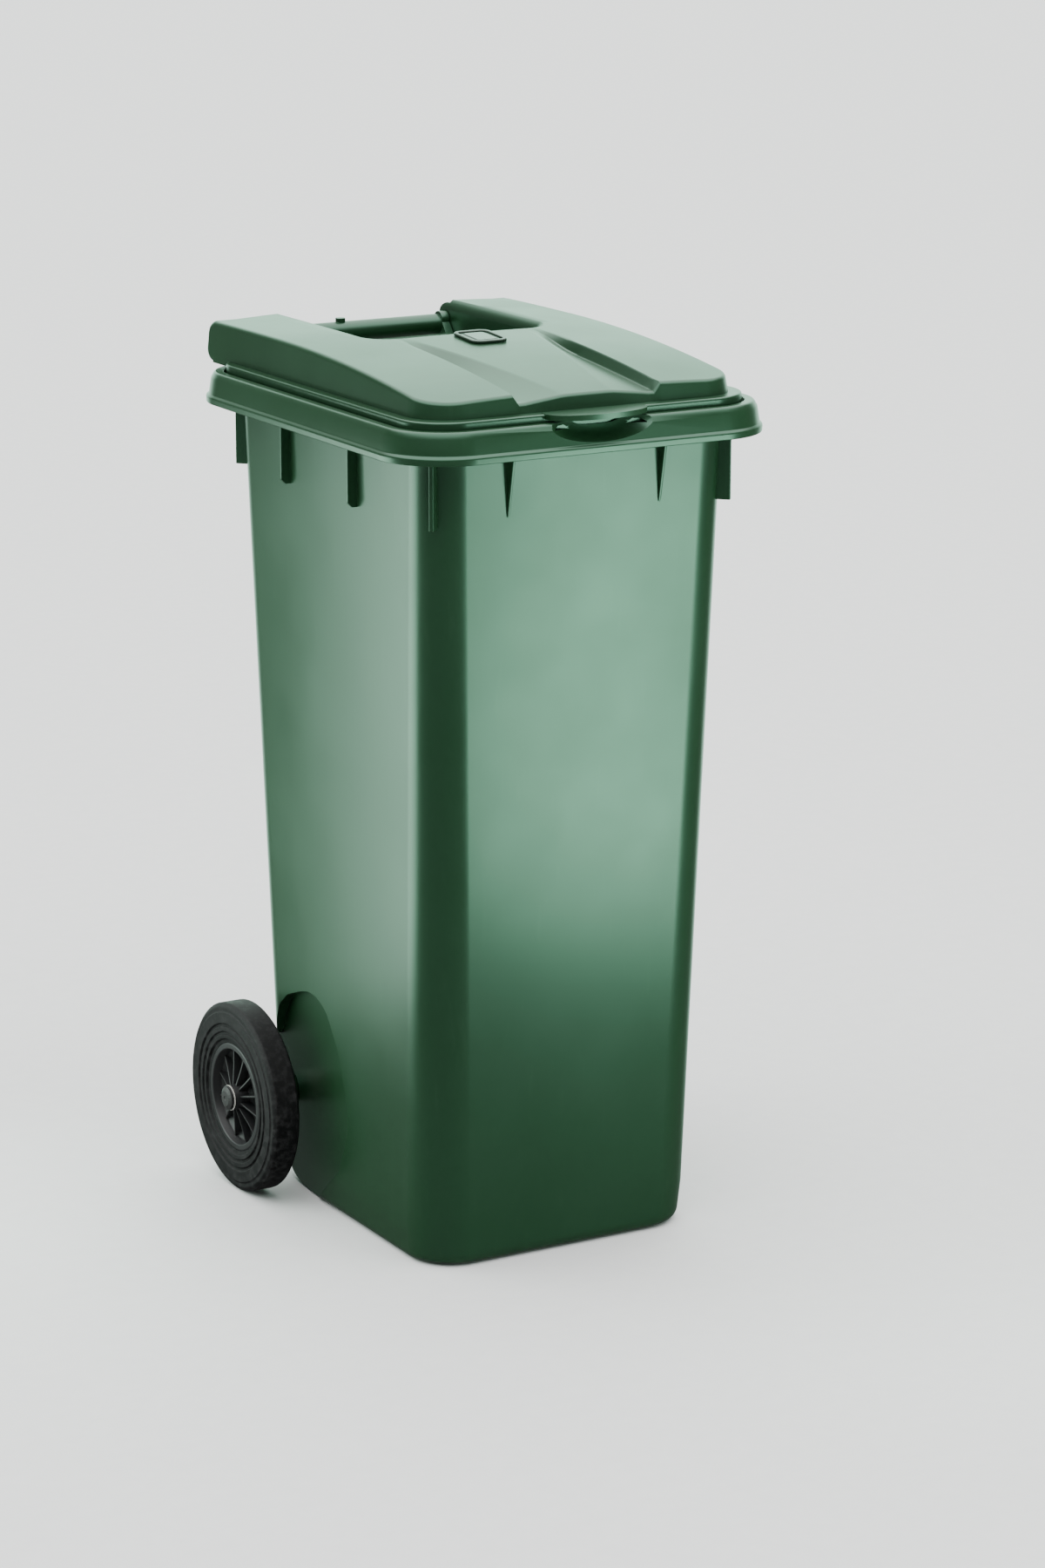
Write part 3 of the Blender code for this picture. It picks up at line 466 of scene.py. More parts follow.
def eased(points, radii, steps=4):
    """Round the inner corners of an open polyline of (a, b) points."""
    result = [points[0]]
    for before, here, after, radius in zip(points, points[1:], points[2:], radii):
        back = Vector(before) - Vector(here)
        ahead = Vector(after) - Vector(here)
        if radius == 0 or back.length == 0 or ahead.length == 0:
            result.append(here)
            continue
        angle = back.angle(ahead)
        reach = min(radius / math.tan(angle / 2), 0.45 * back.length, 0.45 * ahead.length)
        start = Vector(here) + back.normalized() * reach
        finish = Vector(here) + ahead.normalized() * reach
        for step in range(steps + 1):
            t = step / steps
            point = start * (1 - t) ** 2 + Vector(here) * 2 * t * (1 - t) + finish * t * t
            result.append((point.x, point.y))
    result.append(points[-1])
    return result


def turned(profile, segments):
    """A ring-shaped solid: a closed profile of (x, radius) points turned about the x axis."""
    bm = bmesh.new()
    loops = []
    for x, radius in profile:
        loop = []
        for i in range(segments):
            angle = 2 * math.pi * i / segments - math.pi / 2
            loop.append(bm.verts.new((x, radius * math.cos(angle), radius * math.sin(angle))))
        loops.append(loop)
    for first, second in zip(loops, loops[1:] + loops[:1]):
        for i in range(segments):
            j = (i + 1) % segments
            bm.faces.new((first[i], first[j], second[j], second[i]))
    return bm


def combine(target, tool, operation):
    modifier = target.modifiers.new(operation.title(), "BOOLEAN")
    modifier.object = tool
    modifier.operation = operation
    modifier.solver = "EXACT"
    depsgraph = bpy.context.evaluated_depsgraph_get()
    result = bpy.data.meshes.new_from_object(target.evaluated_get(depsgraph))
    target.modifiers.clear()
    target.data = result
    bpy.data.objects.remove(tool, do_unlink=True)


def add(target, bm):
    combine(target, object_from("helper", bm), "UNION")


def cut(target, bm):
    combine(target, object_from("helper", bm), "DIFFERENCE")


def weld(piece):
    bm = bmesh.new()
    bm.from_mesh(piece.data)
    bmesh.ops.remove_doubles(bm, verts=bm.verts, dist=0.00002)
    bmesh.ops.dissolve_degenerate(bm, edges=bm.edges, dist=0.00002)
    bm.to_mesh(piece.data)
    bm.free()


def finish_piece(piece, body, material, bevel=0.0, angle=35.0):
    """Place a piece in the world, soften its edges, and give it a body, slot and material."""
    piece.data.transform(Matrix.Translation((0, MODEL_Y, 0)))
    piece.data.materials.clear()
    piece.data.materials.append(material)
    piece.data.shade_smooth()
    if bevel:
        edges = piece.modifiers.new("Edges", "BEVEL")
        edges.width = bevel
        edges.segments = 2
        edges.limit_method = "ANGLE"
        edges.angle_limit = math.radians(angle)
        edges.use_clamp_overlap = True
        edges.harden_normals = False
    else:
        piece.data.set_sharp_from_angle(angle=math.radians(angle))
    weighted = piece.modifiers.new("Normals", "WEIGHTED_NORMAL")
    weighted.keep_sharp = True
    weighted.weight = 90
    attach(piece, body)
    return piece


# ---------------------------------------------------------------- tub
def heel_inset(z, radius):
    """How far a wall with a rounded foot is set in at height z."""
    if z >= radius:
        return 0.0
    return radius - math.sqrt(radius**2 - (radius - z) ** 2)


def wall_section(z):
    """The tub's outer section at a height, with its rounded and creased foot."""
    share = z / NECK_Z
    half_width, front, rear, radius = (
        low + (high - low) * share for low, high in zip(BASE_SECTION, NECK_SECTION)
    )
    half_width -= heel_inset(z, SIDE_HEEL_RADIUS)
    if z < CREASE_Z:
        half_width -= CREASE_INSET * (1 - z / CREASE_Z)
    front += heel_inset(z, FRONT_HEEL_RADIUS)
    rear -= heel_inset(z, REAR_HEEL_RADIUS)
    return half_width, front, rear, radius


def side_wall_x(z):
    return BASE_SECTION[0] + (NECK_SECTION[0] - BASE_SECTION[0]) * z / NECK_Z


def tub_shell():
    rings = [
        ring(wall_section(FLOOR_Z), WALL + 0.008, FLOOR_Z),
        ring(wall_section(FLOOR_Z + 0.003), WALL + 0.002, FLOOR_Z + 0.003),
    ]
    rings += [ring(wall_section(z), WALL, z) for z in (0.020, 0.048, 0.400, LEDGE_Z - 0.004)]
    corner = [                          # (inset, z) over the rim, from the ledge inside
        (LEDGE_INSET + 0.016, LEDGE_Z),
        (LEDGE_INSET, LEDGE_Z),
        (LEDGE_INSET - 0.001, RIM_TOP_Z),
        (0.0105, RIM_TOP_Z),
        (0.0062, 0.978),
        (0.0034, 0.9605),
        (0.0, 0.9575),
        (0.0004, BEAD_Z),
        (SKIRT_WALL, BEAD_Z),
        (0.0034 + SKIRT_WALL, 0.961),
        (0.0062 + SKIRT_WALL, 0.978),
        (0.0145, RIM_TOP_Z - SKIRT_WALL),
        (LEDGE_INSET - SKIRT_WALL - 0.001, RIM_TOP_Z - SKIRT_WALL),
        (LEDGE_INSET - SKIRT_WALL, LEDGE_Z - SKIRT_WALL),
    ]
    radii = (0.0012, 0.0015, 0.0045, 0.0, 0.0022, 0.0035, 0.0035, 0.001, 0.0, 0.0, 0.0, 0.0)
    rim_profile = eased(corner, radii)
    rings += [ring(RIM_SECTION, inset, z) for inset, z in rim_profile]
    outside = (LEDGE_Z - SKIRT_WALL, 0.850, 0.700, 0.550, 0.400, 0.250, CREASE_Z, 0.028, 0.018)
    outside += (0.014, 0.010, 0.007, 0.0045, 0.0025, 0.001, 0.0)
    rings += [ring(wall_section(z), 0.0, z) for z in outside]
    return loft(rings)


def pocket(side, margin):
    """Cutter for the wheel's hollow in the tub's side, deeper towards the back."""
    foot = [(0.088, 0.000), (0.018, 0.057), (0.004, 0.100)]
    arch = [
        (-0.006, 0.150), (0.000, 0.171), (0.012, 0.205), (0.040, 0.248), (0.063, 0.260), (0.085, 0.262),
        (0.108, 0.256), (0.143, 0.243), (0.164, 0.226), (0.178, 0.202), (0.190, 0.178), (0.260, 0.165),
    ]
    arch_radii = (0.05, 0.05, 0.05, 0.04, 0.04, 0.04, 0.04, 0.03, 0.03, 0.03)
    outline = [(0.088, -0.010), (0.088, 0.000), *eased(foot, (0.020,))[1:-1]]
    outline += arc((0.075, 0.130), 0.083, 200, 172, 6)
    outline += [*eased(arch, arch_radii)[1:], (0.260, -0.010)]
    if margin:
        outline = grow(outline, margin)
    rings = []
    for outer in (True, False):
        points = []
        for y, z in outline:
            depth = POCKET_EDGE_DEPTH + POCKET_SLOPE * (y - POCKET_START_Y)
            floor_x = side_wall_x(z) - depth - margin
            points.append(Vector((side * (POCKET_OUTER_X if outer else floor_x), y, z)))
        rings.append(points)
    return loft(rings)


def grow(outline, distance):
    """Move a closed outline outwards by a distance."""
    area = sum(p[0] * q[1] - q[0] * p[1] for p, q in zip(outline, outline[1:] + outline[:1]))
    sign = 1 if area > 0 else -1
    moved = []
    for before, here, after in zip(outline[-1:] + outline[:-1], outline, outline[1:] + outline[:1]):
        arriving = Vector((here[0] - before[0], here[1] - before[1])).normalized()
        leaving = Vector((after[0] - here[0], after[1] - here[1])).normalized()
        normal_in = Vector((arriving.y, -arriving.x)) * sign
        normal_out = Vector((leaving.y, -leaving.x)) * sign
        bisector = (normal_in + normal_out).normalized()
        stretch = distance / max(bisector.dot(normal_in), 0.5)
        moved.append((here[0] + bisector.x * stretch, here[1] + bisector.y * stretch))
    return moved


def channel(margin):
    """Cutter for the axle's channel across the back."""
    radius = CHANNEL_RADIUS + margin
    outline = arc((AXLE_Y, AXLE_Z), radius, 90, 270, 16)
    outline += [(0.270, AXLE_Z - radius), (0.270, AXLE_Z + radius)]
    return prism(outline, -0.230, 0.230, "X")


def carve_base(body):
    """Cut the pockets and the channel, after lining them so that the tub stays closed inside."""
    liner = object_from("liner", channel(WALL))
    for side in (-1, 1):
        add(liner, pocket(side, WALL))
    levels = (0.001, 0.004, 0.014, 0.028, CREASE_Z, 0.320)
    envelope = loft([ring(wall_section(z), 0.001, z) for z in levels])
    combine(liner, object_from("helper", envelope), "INTERSECT")
    combine(body, liner, "UNION")
    cut(body, channel(0.0))
    for side in (-1, 1):
        cut(body, pocket(side, 0.0))


def finger_scoop(body):
    """A shallow hollow in the front of the rim, under the lid's grip lip."""
    rings = []
    half = SCOOP_BLOCK_HALF
    for z, inset in SCOOP_BLOCK_LEVELS:
        block = box_outline(-half, half, RIM_SECTION[1] + inset, NECK_SECTION[1] + 0.002)
        rings.append([Vector((x, y, z)) for x, y in block])
    add(body, loft(rings))
    bm = bmesh.new()
    bmesh.ops.create_uvsphere(bm, u_segments=64, v_segments=32, radius=1.0)
    scale = Matrix.Diagonal((*SCOOP_RADII, 1.0))
    bm.transform(Matrix.Translation((0, LIP_FRONT_Y, RIM_TOP_Z + 0.0005)) @ scale)
    cut(body, bm)


def make_tub():
    tub = object_from("tub_shell", tub_shell())
    carve_base(tub)
    finger_scoop(tub)
    rear, bottom, top = HAND_GAP_CUT
    cut(tub, prism(box_outline(-HAND_GAP_HALF, HAND_GAP_HALF, HAND_GAP_Y, rear), bottom, top))
    weld(tub)
    finish_piece(tub, "bin", MATERIALS["green"], bevel=0.0012)
    return tub


def joined(name, parts):
    """One piece from several closed bmeshes of the same moulding."""
    whole = bmesh.new()
    for part in parts:
        mesh = bpy.data.meshes.new("part")
        bmesh.ops.recalc_face_normals(part, faces=part.faces)
        part.to_mesh(mesh)
        part.free()
        whole.from_mesh(mesh)
        bpy.data.meshes.remove(mesh)
    mesh = bpy.data.meshes.new(name)
    whole.to_mesh(mesh)
    whole.free()
    made = bpy.data.objects.new(name, mesh)
    bpy.context.scene.collection.objects.link(made)
    return made


def make_ribs():
    top = LEDGE_Z - SKIRT_WALL + 0.001
    wall_x = NECK_SECTION[0] - RIB_ROOT
    reach_x = NECK_SECTION[0] + SIDE_RIB_REACH
    parts = []
    for side in (-1, 1):
        profile = [(wall_x, top), (reach_x, top), (reach_x, RIB_BOTTOM_Z + RIB_CHAMFER)]
        profile += [(reach_x - RIB_CHAMFER, RIB_BOTTOM_Z), (wall_x, RIB_BOTTOM_Z)]
        outline = [(side * x, z) for x, z in profile]
        for middle in SIDE_RIB_YS:
            half = SIDE_RIB_THICKNESS / 2
            parts.append(prism(outline, middle - half, middle + half, "Y"))
        half = FRONT_RIB_THICKNESS / 2
        front = NECK_SECTION[1]
        outline = [(front + RIB_ROOT, top), (front - FRONT_RIB_REACH, top)]
        outline += [(front + 0.002, RIB_BOTTOM_Z + FRONT_RIB_TIP)]
        parts.append(prism(outline, side * FRONT_RIB_X - half, side * FRONT_RIB_X + half, "X"))
    for side_x in (-1, 1):
        for side_y in (-1, 1):
            parts.append(corner_rib(side_x, side_y, top))
    ribs = joined("rim_ribs", parts)
    return finish_piece(ribs, "bin", MATERIALS["green"], bevel=0.0009)


def corner_rib(side_x, side_y, top):
    """A rib that stands out diagonally from one corner of the tub."""
    half_width, front, rear, radius = NECK_SECTION
    end = rear if side_y > 0 else front
    direction = Vector((side_x, side_y, 0)).normalized()
    centre = Vector((side_x * (half_width - radius), end - side_y * radius, 0))
    across = Vector((-direction.y, direction.x, 0)) * SIDE_RIB_THICKNESS / 2
    rings = []
    for z in (RIB_BOTTOM_Z, top):
        near = centre + direction * (radius - 0.004)
        far = centre + direction * (radius + CORNER_RIB_REACH)
        points = (near - across, far - across, far + across, near + across)
        rings.append([point + Vector((0, 0, z)) for point in points])
    return loft(rings)


def circle(a, b, radius, segments=SMALL_SEGMENTS):
    return arc((a, b), radius, -90, 270, segments)[:-1]


def make_axle_supports():
    radius = CHANNEL_RADIUS + WEB_OVERLAP
    web = arc((AXLE_Y, AXLE_Z), radius, 90, 270, 16)
    web += [(WEB_REAR_Y, AXLE_Z - radius), (WEB_REAR_Y, AXLE_Z + radius)]
    supports = None
    for side in (-1, 1):
        for inner, outer in WEB_SPANS:
            low, high = sorted((side * inner, side * outer))
            if supports is None:
                supports = object_from("axle_supports", prism(web, low, high, "X"))
            else:
                add(supports, prism(web, low, high, "X"))
        low, high = sorted((side * BOSS_START_X, side * BOSS_END_X))
        add(supports, prism(circle(AXLE_Y, AXLE_Z, BOSS_RADIUS), low, high, "X"))
    cut(supports, prism(circle(AXLE_Y, AXLE_Z, AXLE_RADIUS + GAP), -0.2, 0.2, "X"))
    weld(supports)
    return finish_piece(supports, "bin", MATERIALS["green"], bevel=0.0008)


def lug_outline():
    """Side view of a lug: it rises from the rim, holds the hinge pin and meets the bar."""
    outline = arc((HINGE_Y, HINGE_Z), LUG_RADIUS, 40, 190, 16)
    outline += [(HAND_GAP_Y + 0.002, RIM_TOP_Z + 0.004), (HAND_GAP_Y + 0.002, LEDGE_Z - 0.002)]
    outline += [(RIM_SECTION[2] - 0.010, LEDGE_Z - 0.002)]
    outline += arc((HANDLE_Y, HANDLE_Z), HANDLE_RADIUS + 0.001, -60, 50, 16)
    return outline


def make_handle():
    low, high = -LUG_OUTER_X, -LUG_INNER_X
    handle = object_from("grab_handle", prism(lug_outline(), low, high, "X"))
    add(handle, prism(lug_outline(), -high, -low, "X"))
    bar = arc((HANDLE_Y, HANDLE_Z), HANDLE_RADIUS, 0, 360, SMALL_SEGMENTS)[:-1]
    add(handle, prism(bar, -LUG_INNER_X - 0.001, LUG_INNER_X + 0.001, "X"))
    peg = rounded_outline((PEG_HALF, -PEG_HALF, PEG_HALF, PEG_CORNER), 0.0, 8)
    peg = [(PEG_X + x, HANDLE_Y + y) for x, y in peg]
    add(handle, prism(peg, HANDLE_Z, PEG_TOP_Z))
    for side in (-1, 1):
        low, high = sorted((side * 0.088, side * 0.115))
        cut(handle, prism(circle(HINGE_Y, HINGE_Z, PIN_RADIUS + GAP), low, high, "X"))
    weld(handle)
    return finish_piece(handle, "bin", MATERIALS["green"], bevel=0.0012)


# ---------------------------------------------------------------- lid
def crown_height(x, y):
    """Height of the lid's top surface."""
    curve = CREST_CURVE if y < CREST_Y else REAR_CURVE
    z = CREST_Z - curve * (y - CREST_Y) ** 2
    z += SIDE_DROP * (1 - (x / CROWN_HALF_WIDTH) ** 2)
    return z - panel_drop(abs(x), y)


def crease_x(y):
    """Half width of the flat middle of the panel; beyond it the surface falls to the gutters."""
    share = min(max((PANEL_REAR_Y - y) / PANEL_LENGTH, 0.0), 1.0)
    return GUTTER_FOOT_X - 0.004 - (GUTTER_FOOT_X - CREASE_FRONT_X) * share


def panel_drop(x, y):
    """How far the middle panel and its gutters lie below the crown, x from the middle."""
    if x >= GUTTER_EDGE_X or y >= PANEL_REAR_Y:
        return 0.0
    forward = PANEL_REAR_Y - y
    middle = PANEL_DEPTH * forward / PANEL_LENGTH
    fall = min(forward / 0.110, 1.0)
    foot = GUTTER_DEPTH * fall * fall * (3 - 2 * fall)
    foot -= GUTTER_RISE * max((forward - 0.190) / 0.100, 0.0)
    crease = crease_x(y)
    if x <= crease:
        return middle
    if x <= GUTTER_FOOT_X:
        return middle + (foot - middle) * (x - crease) / (GUTTER_FOOT_X - crease)
    return foot * (GUTTER_EDGE_X - x) / (GUTTER_EDGE_X - GUTTER_FOOT_X)


PANEL_ROWS = [-0.240 + 0.011 * step for step in range(25)] + [0.030, PANEL_REAR_Y - 0.0002]
REAR_ROWS = (0.048, 0.062, 0.078, 0.094, 0.110, 0.126, 0.142, 0.158, 0.174, 0.190, 0.206, 0.222, 0.240,
             0.256, 0.272, 0.288)


def crown_lines():
    """The creases, feet and edges of the two gutters, each a line of points from the front."""
    lines = []
    for side in (-1, 1):
        for shift in (-CREASE_BAND, 0.0, CREASE_BAND):
            rows = [y for y in PANEL_ROWS if y < CREASE_REAR_Y]
            lines.append([(side * (crease_x(y) + shift), y) for y in rows])
        for x in (GUTTER_FOOT_X - 0.0012, GUTTER_FOOT_X + 0.0008, GUTTER_EDGE_X - 0.0008,
                  GUTTER_EDGE_X + 0.0012):
            lines.append([(side * x, y) for y in PANEL_ROWS])
    return lines


def crown_grid():
    """Other inner points of the crown's surface, kept clear of those lines."""
    points = [(0.0, y) for y in (*PANEL_ROWS, *REAR_ROWS)]
    for x in (0.012, 0.024, 0.036, 0.048, 0.058, 0.067, 0.076, 0.098, 0.104, 0.120, 0.132, 0.144,
              0.156, 0.168, 0.180, 0.190):
        for y in PANEL_ROWS:
            near_crease = y < CREASE_REAR_Y and abs(x - crease_x(y)) < 2 * CREASE_BAND
            if not near_crease:
                points += [(-x, y), (x, y)]
        for y in REAR_ROWS:
            points += [(-x, y), (x, y)]
    return points


def inside(point, section, inset):
    """Whether a point is inside a rounded section that is inset all round."""
    half_width, front, rear, radius = section
    x = abs(point[0])
    y = point[1]
    if x > half_width - inset or y < front + inset or y > rear - inset:
        return False
    corner_x = half_width - radius
    corner_y = front + radius if y < 0 else rear - radius
    beyond_x = max(x - corner_x, 0.0)
    beyond_y = max(corner_y - y, 0.0) if y < 0 else max(y - corner_y, 0.0)
    return math.hypot(beyond_x, beyond_y) <= radius - inset


def crown_solid(section, wall_inset, drop, bottom, fillet=CROWN_FILLET):
    """A solid under the crown's surface with a rounded top edge, down to a flat bottom."""
    edge_inset = wall_inset + CROWN_LEAN + fillet
    edge = rounded_outline(section, edge_inset, CORNER_STEPS, SIDE_POINTS)
    inner = [p for p in crown_grid() if inside(p, section, edge_inset + EDGE_CLEARANCE)]
    border = [(i, (i + 1) % len(edge)) for i in range(len(edge))]
    for line in crown_lines():
        line = [p for p in line if inside(p, section, edge_inset + EDGE_CLEARANCE)]
        start = len(edge) + len(inner)
        border += [(start + i, start + i + 1) for i in range(len(line) - 1)]
        inner += line
    points = [Vector(p) for p in edge + inner]
    flat, _, faces, _, _, _ = delaunay_2d_cdt(points, border, [], 1, 0.0001)
    bm = bmesh.new()
    top = [bm.verts.new((p.x, p.y, crown_height(p.x, p.y) - drop)) for p in flat]
    for corners in faces:
        bm.faces.new([top[i] for i in corners])
    previous = top[: len(edge)]
    loops = []
    for step in range(1, FILLET_STEPS + 1):
        angle = math.pi / 2 * step / FILLET_STEPS
        inset = wall_inset + CROWN_LEAN + fillet * (1 - math.sin(angle))
        sink = fillet * (1 - math.cos(angle))
        outline = rounded_outline(section, inset, CORNER_STEPS, SIDE_POINTS)
        loop = []
        for (x, y), (edge_x, edge_y) in zip(outline, edge):
            z = crown_height(edge_x, edge_y) - drop - sink
            loop.append(bm.verts.new((x, y, z)))
        loops.append(loop)
    outline = rounded_outline(section, wall_inset, CORNER_STEPS, SIDE_POINTS)
    foot = [bm.verts.new((x, y, bottom)) for x, y in outline]
    for loop in (*loops, foot):
        for i in range(len(edge)):
            j = (i + 1) % len(edge)
            bm.faces.new((previous[i], previous[j], loop[j], loop[i]))
        previous = loop
    bm.faces.new(foot)
    return bm


def notch(margin):
    """Cutter between the shoulders, behind the middle panel. It flares out near the top.

    A margin moves its sides outwards, with the flare's rounding about the same centre.
    """
    radius = WELL_EDGE_RADIUS
    profile = [(margin, DECK_Z - margin), (margin, WELL_TOP_Z - radius)]
    for step in range(1, WELL_EDGE_STEPS + 1):
        angle = math.pi / 2 * step / WELL_EDGE_STEPS
        offset = radius - (radius - margin) * math.cos(angle)
        profile.append((offset, WELL_TOP_Z - radius + (radius - margin) * math.sin(angle)))
    profile.append((radius, CUTTER_TOP_Z))
    rings = []
    for offset, z in profile:
        half = SHOULDER_INNER_X + offset
        corner = WELL_CORNER_RADIUS + offset
        centre_y = PANEL_REAR_Y + WELL_CORNER_RADIUS
        outline = arc((half - corner, centre_y), corner, 0, -90, 14)
        outline += arc((corner - half, centre_y), corner, -90, -180, 14)
        outline += [(-half, CUTTER_REAR_Y), (half, CUTTER_REAR_Y)]
        rings.append([Vector((x, y, z)) for x, y in outline])
    return loft(rings)


def knuckle(side):
    """A rounded block at the back of a shoulder. Its outer end leans in with the crown's wall."""
    section = (KNUCKLE_HALF, KNUCKLE_BOTTOM_Z, KNUCKLE_TOP_Z, KNUCKLE_CORNER)
    ease = KNUCKLE_END_RADIUS
    levels = [(SHOULDER_INNER_X, 0.0)]
    for step in range(FILLET_STEPS + 1):
        angle = math.pi / 2 * step / FILLET_STEPS
        levels.append((KNUCKLE_END_X - ease * (1 - math.sin(angle)), ease * (1 - math.cos(angle))))
    rings = []
    for x, inset in levels:
        loop = []
        for a, b in rounded_outline(section, inset, 12):
            lean = CROWN_LEAN * (b - KNUCKLE_BOTTOM_Z) / CROWN_WALL_HEIGHT
            reach = x if x == SHOULDER_INNER_X else x - lean
            loop.append(Vector((side * reach, KNUCKLE_Y + a, b)))
        rings.append(loop)
    return loft(rings)


def hollow_lid(lid, crown_section):
    """Hollow the crown out from below, leaving walls round the well between the shoulders."""
    section = (crown_section[0], crown_section[1], HOLLOW_REAR_Y + CROWN_INSET, crown_section[3])
    inset = CROWN_INSET + LID_SIDE_WALL
    solid = crown_solid(section, inset, LID_WALL, HOLLOW_BOTTOM_Z, HOLLOW_FILLET)
    hollow = object_from("hollow", solid)
    cut(hollow, notch(LID_WALL))
    half = SHOULDER_INNER_X + LID_WALL
    rear_wall = box_outline(-half, half, DECK_REAR_Y - LID_WALL, HOLLOW_TRIM_REAR_Y)
    cut(hollow, prism(rear_wall, CUTTER_BOTTOM_Z, CUTTER_TOP_Z))
    combine(lid, hollow, "DIFFERENCE")


def add_knuckles(lid):
    """Trim the shoulders, give each its knuckle, and cut the pin's bore and the pocket for its head."""
    behind = box_outline(-0.220, 0.220, KNUCKLE_Y, CUTTER_REAR_Y)
    cut(lid, prism(behind, CUTTER_BOTTOM_Z, CUTTER_TOP_Z))
    for side in (-1, 1):
        add(lid, knuckle(side))
        low, high = sorted((side * 0.105, side * (PIN_HEAD_X + 0.001)))
        cut(lid, prism(circle(HINGE_Y, HINGE_Z, PIN_RADIUS + GAP), low, high, "X"))
        low, high = sorted((side * (PIN_HEAD_X - GAP), side * (KNUCKLE_END_X - 0.004)))
        half = PIN_POCKET_HALF
        pin_pocket = box_outline(HINGE_Y - half, HINGE_Y + half, 0.980, HINGE_Z + half)
        cut(lid, prism(pin_pocket, low, high, "X"))


def lip_outline():
    flange_front = RIM_SECTION[1] + FLANGE_INSET
    points = []
    for step in range(LIP_STEPS + 1):
        angle = math.pi * step / LIP_STEPS
        x = LIP_HALF_WIDTH * math.cos(angle)
        y = flange_front + (LIP_FRONT_Y - flange_front) * math.sin(angle) ** LIP_FULLNESS
        points.append((x, y))
    return points + [(-LIP_HALF_WIDTH, LIP_ROOT_Y), (LIP_HALF_WIDTH, LIP_ROOT_Y)]


def add_lip(lid):
    """The grip lip reaches out over the rim's top."""
    add(lid, prism(lip_outline(), LIP_BOTTOM_Z, FLANGE_TOP_Z + 0.0005))


def make_lid():
    crown_section = (RIM_SECTION[0], RIM_SECTION[1], CROWN_REAR_Y + CROWN_INSET, CROWN_CORNER)
    crown = crown_solid(crown_section, CROWN_INSET, 0.0, KNUCKLE_BOTTOM_Z)
    lid = object_from("lid_shell", crown)
    foot = (FLANGE_INSET + 0.0004, LEDGE_Z + GAP)
    corner = (FLANGE_INSET, FLANGE_TOP_Z)
    within = (FLANGE_INSET + 0.012, FLANGE_TOP_Z)
    flange = eased([foot, corner, within], (FLANGE_FILLET,), 6)[:-1]
    add(lid, loft([ring(RIM_SECTION, inset, z) for inset, z in flange]))
    beside_handle = box_outline(-SHOULDER_INNER_X, SHOULDER_INNER_X, DECK_REAR_Y, CUTTER_REAR_Y)
    cut(lid, prism(beside_handle, CUTTER_BOTTOM_Z, CUTTER_TOP_Z))
    hollow_lid(lid, crown_section)
    add_knuckles(lid)
    cut(lid, notch(0.0))
    add_lip(lid)
    weld(lid)
    finish_piece(lid, "lid", MATERIALS["green"], bevel=0.0014)
    return lid


# ---------------------------------------------------------------- wheels
def at_wheel(piece, side):
    piece.data.transform(Matrix.Translation((side * WHEEL_X, AXLE_Y, AXLE_Z)))


def tyre_profile():
    """Half of the tyre's section as (x, radius), from the seat over the ribbed sidewall to the tread."""
    half = TYRE_HALF_WIDTH
    outer = [
        (half - 0.0045, RIM_OUTER_RADIUS + GAP), (half - 0.0040, 0.0700), (half - 0.0012, 0.0715),
        (half - 0.0008, 0.0755), (half - 0.0028, 0.0768), (half - 0.0028, 0.0792),
        (half - 0.0006, 0.0805), (half - 0.0004, 0.0855), (half - 0.0024, 0.0868),
        (half - 0.0022, 0.0890), (half, 0.0905), (half - 0.0001, 0.1030),
        (half - 0.0012, 0.1040), (half - 0.0016, 0.1052), (half - 0.0012, TYRE_RADIUS - 0.0052),
        (half - 0.0052, TYRE_RADIUS), (half - 0.0130, TYRE_RADIUS),
    ]
    radii = (0.0006, 0.0007, 0.0007, 0.0006, 0.0006, 0.0007, 0.0007, 0.0006, 0.0006, 0.0008, 0.0006,
             0.0005, 0.0005, 0.0045, 0.003)
    return eased(outer, radii, 3)


def make_tyre(word, side):
    right = tyre_profile()
    left = [(-x, radius) for x, radius in reversed(right)]
    tyre = object_from(f"{word}_tyre_fine", turned(right + left, WHEEL_SEGMENTS))
    at_wheel(tyre, side)
    finish_piece(tyre, f"{word}_wheel", MATERIALS["rubber"], angle=60)
    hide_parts(f"{word}_tyre")


def make_rim(word, side):
    lip = 0.0150
    bore = BUSH_RADIUS + GAP
    outer = [
        (-0.0185, bore), (-0.0185, HUB_RADIUS - 0.001), (-0.0030, HUB_RADIUS), (-0.0015, 0.0575),
        (-0.0145, 0.0610), (-0.0145, RIM_OUTER_RADIUS), (lip - 0.0005, RIM_OUTER_RADIUS),
        (lip, 0.0640), (lip, 0.0585), (0.0045, 0.0555), (0.0005, 0.0500), (0.0000, 0.0220),
        (0.0020, HUB_RADIUS), (0.0200, HUB_RADIUS - 0.002), (0.0200, bore),
    ]
    radii = (0.0008, 0.003, 0.003, 0.0015, 0.0008, 0.0006, 0.0012, 0.0015, 0.003, 0.003, 0.003, 0.002,
             0.0012)
    profile = [(side * x, radius) for x, radius in eased(outer, radii, 4)]
    barrel = turned(profile, WHEEL_SEGMENTS)
    parts = [barrel]
    for index in range(FIN_COUNT):
        faces = (-FIN_HALF_THICKNESS, FIN_HALF_THICKNESS)
        fin = loft([[Vector((side * x, y, radius)) for radius, x in FIN_OUTLINE] for y in faces])
        fin.transform(Matrix.Rotation(2 * math.pi * (index + 0.5) / FIN_COUNT, 4, "X"))
        parts.append(fin)
    rim = joined(f"{word}_rim_fine", parts)
    at_wheel(rim, side)
    finish_piece(rim, f"{word}_wheel", MATERIALS["rim"], bevel=0.0004, angle=50)
    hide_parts(f"{word}_wheel_rim")


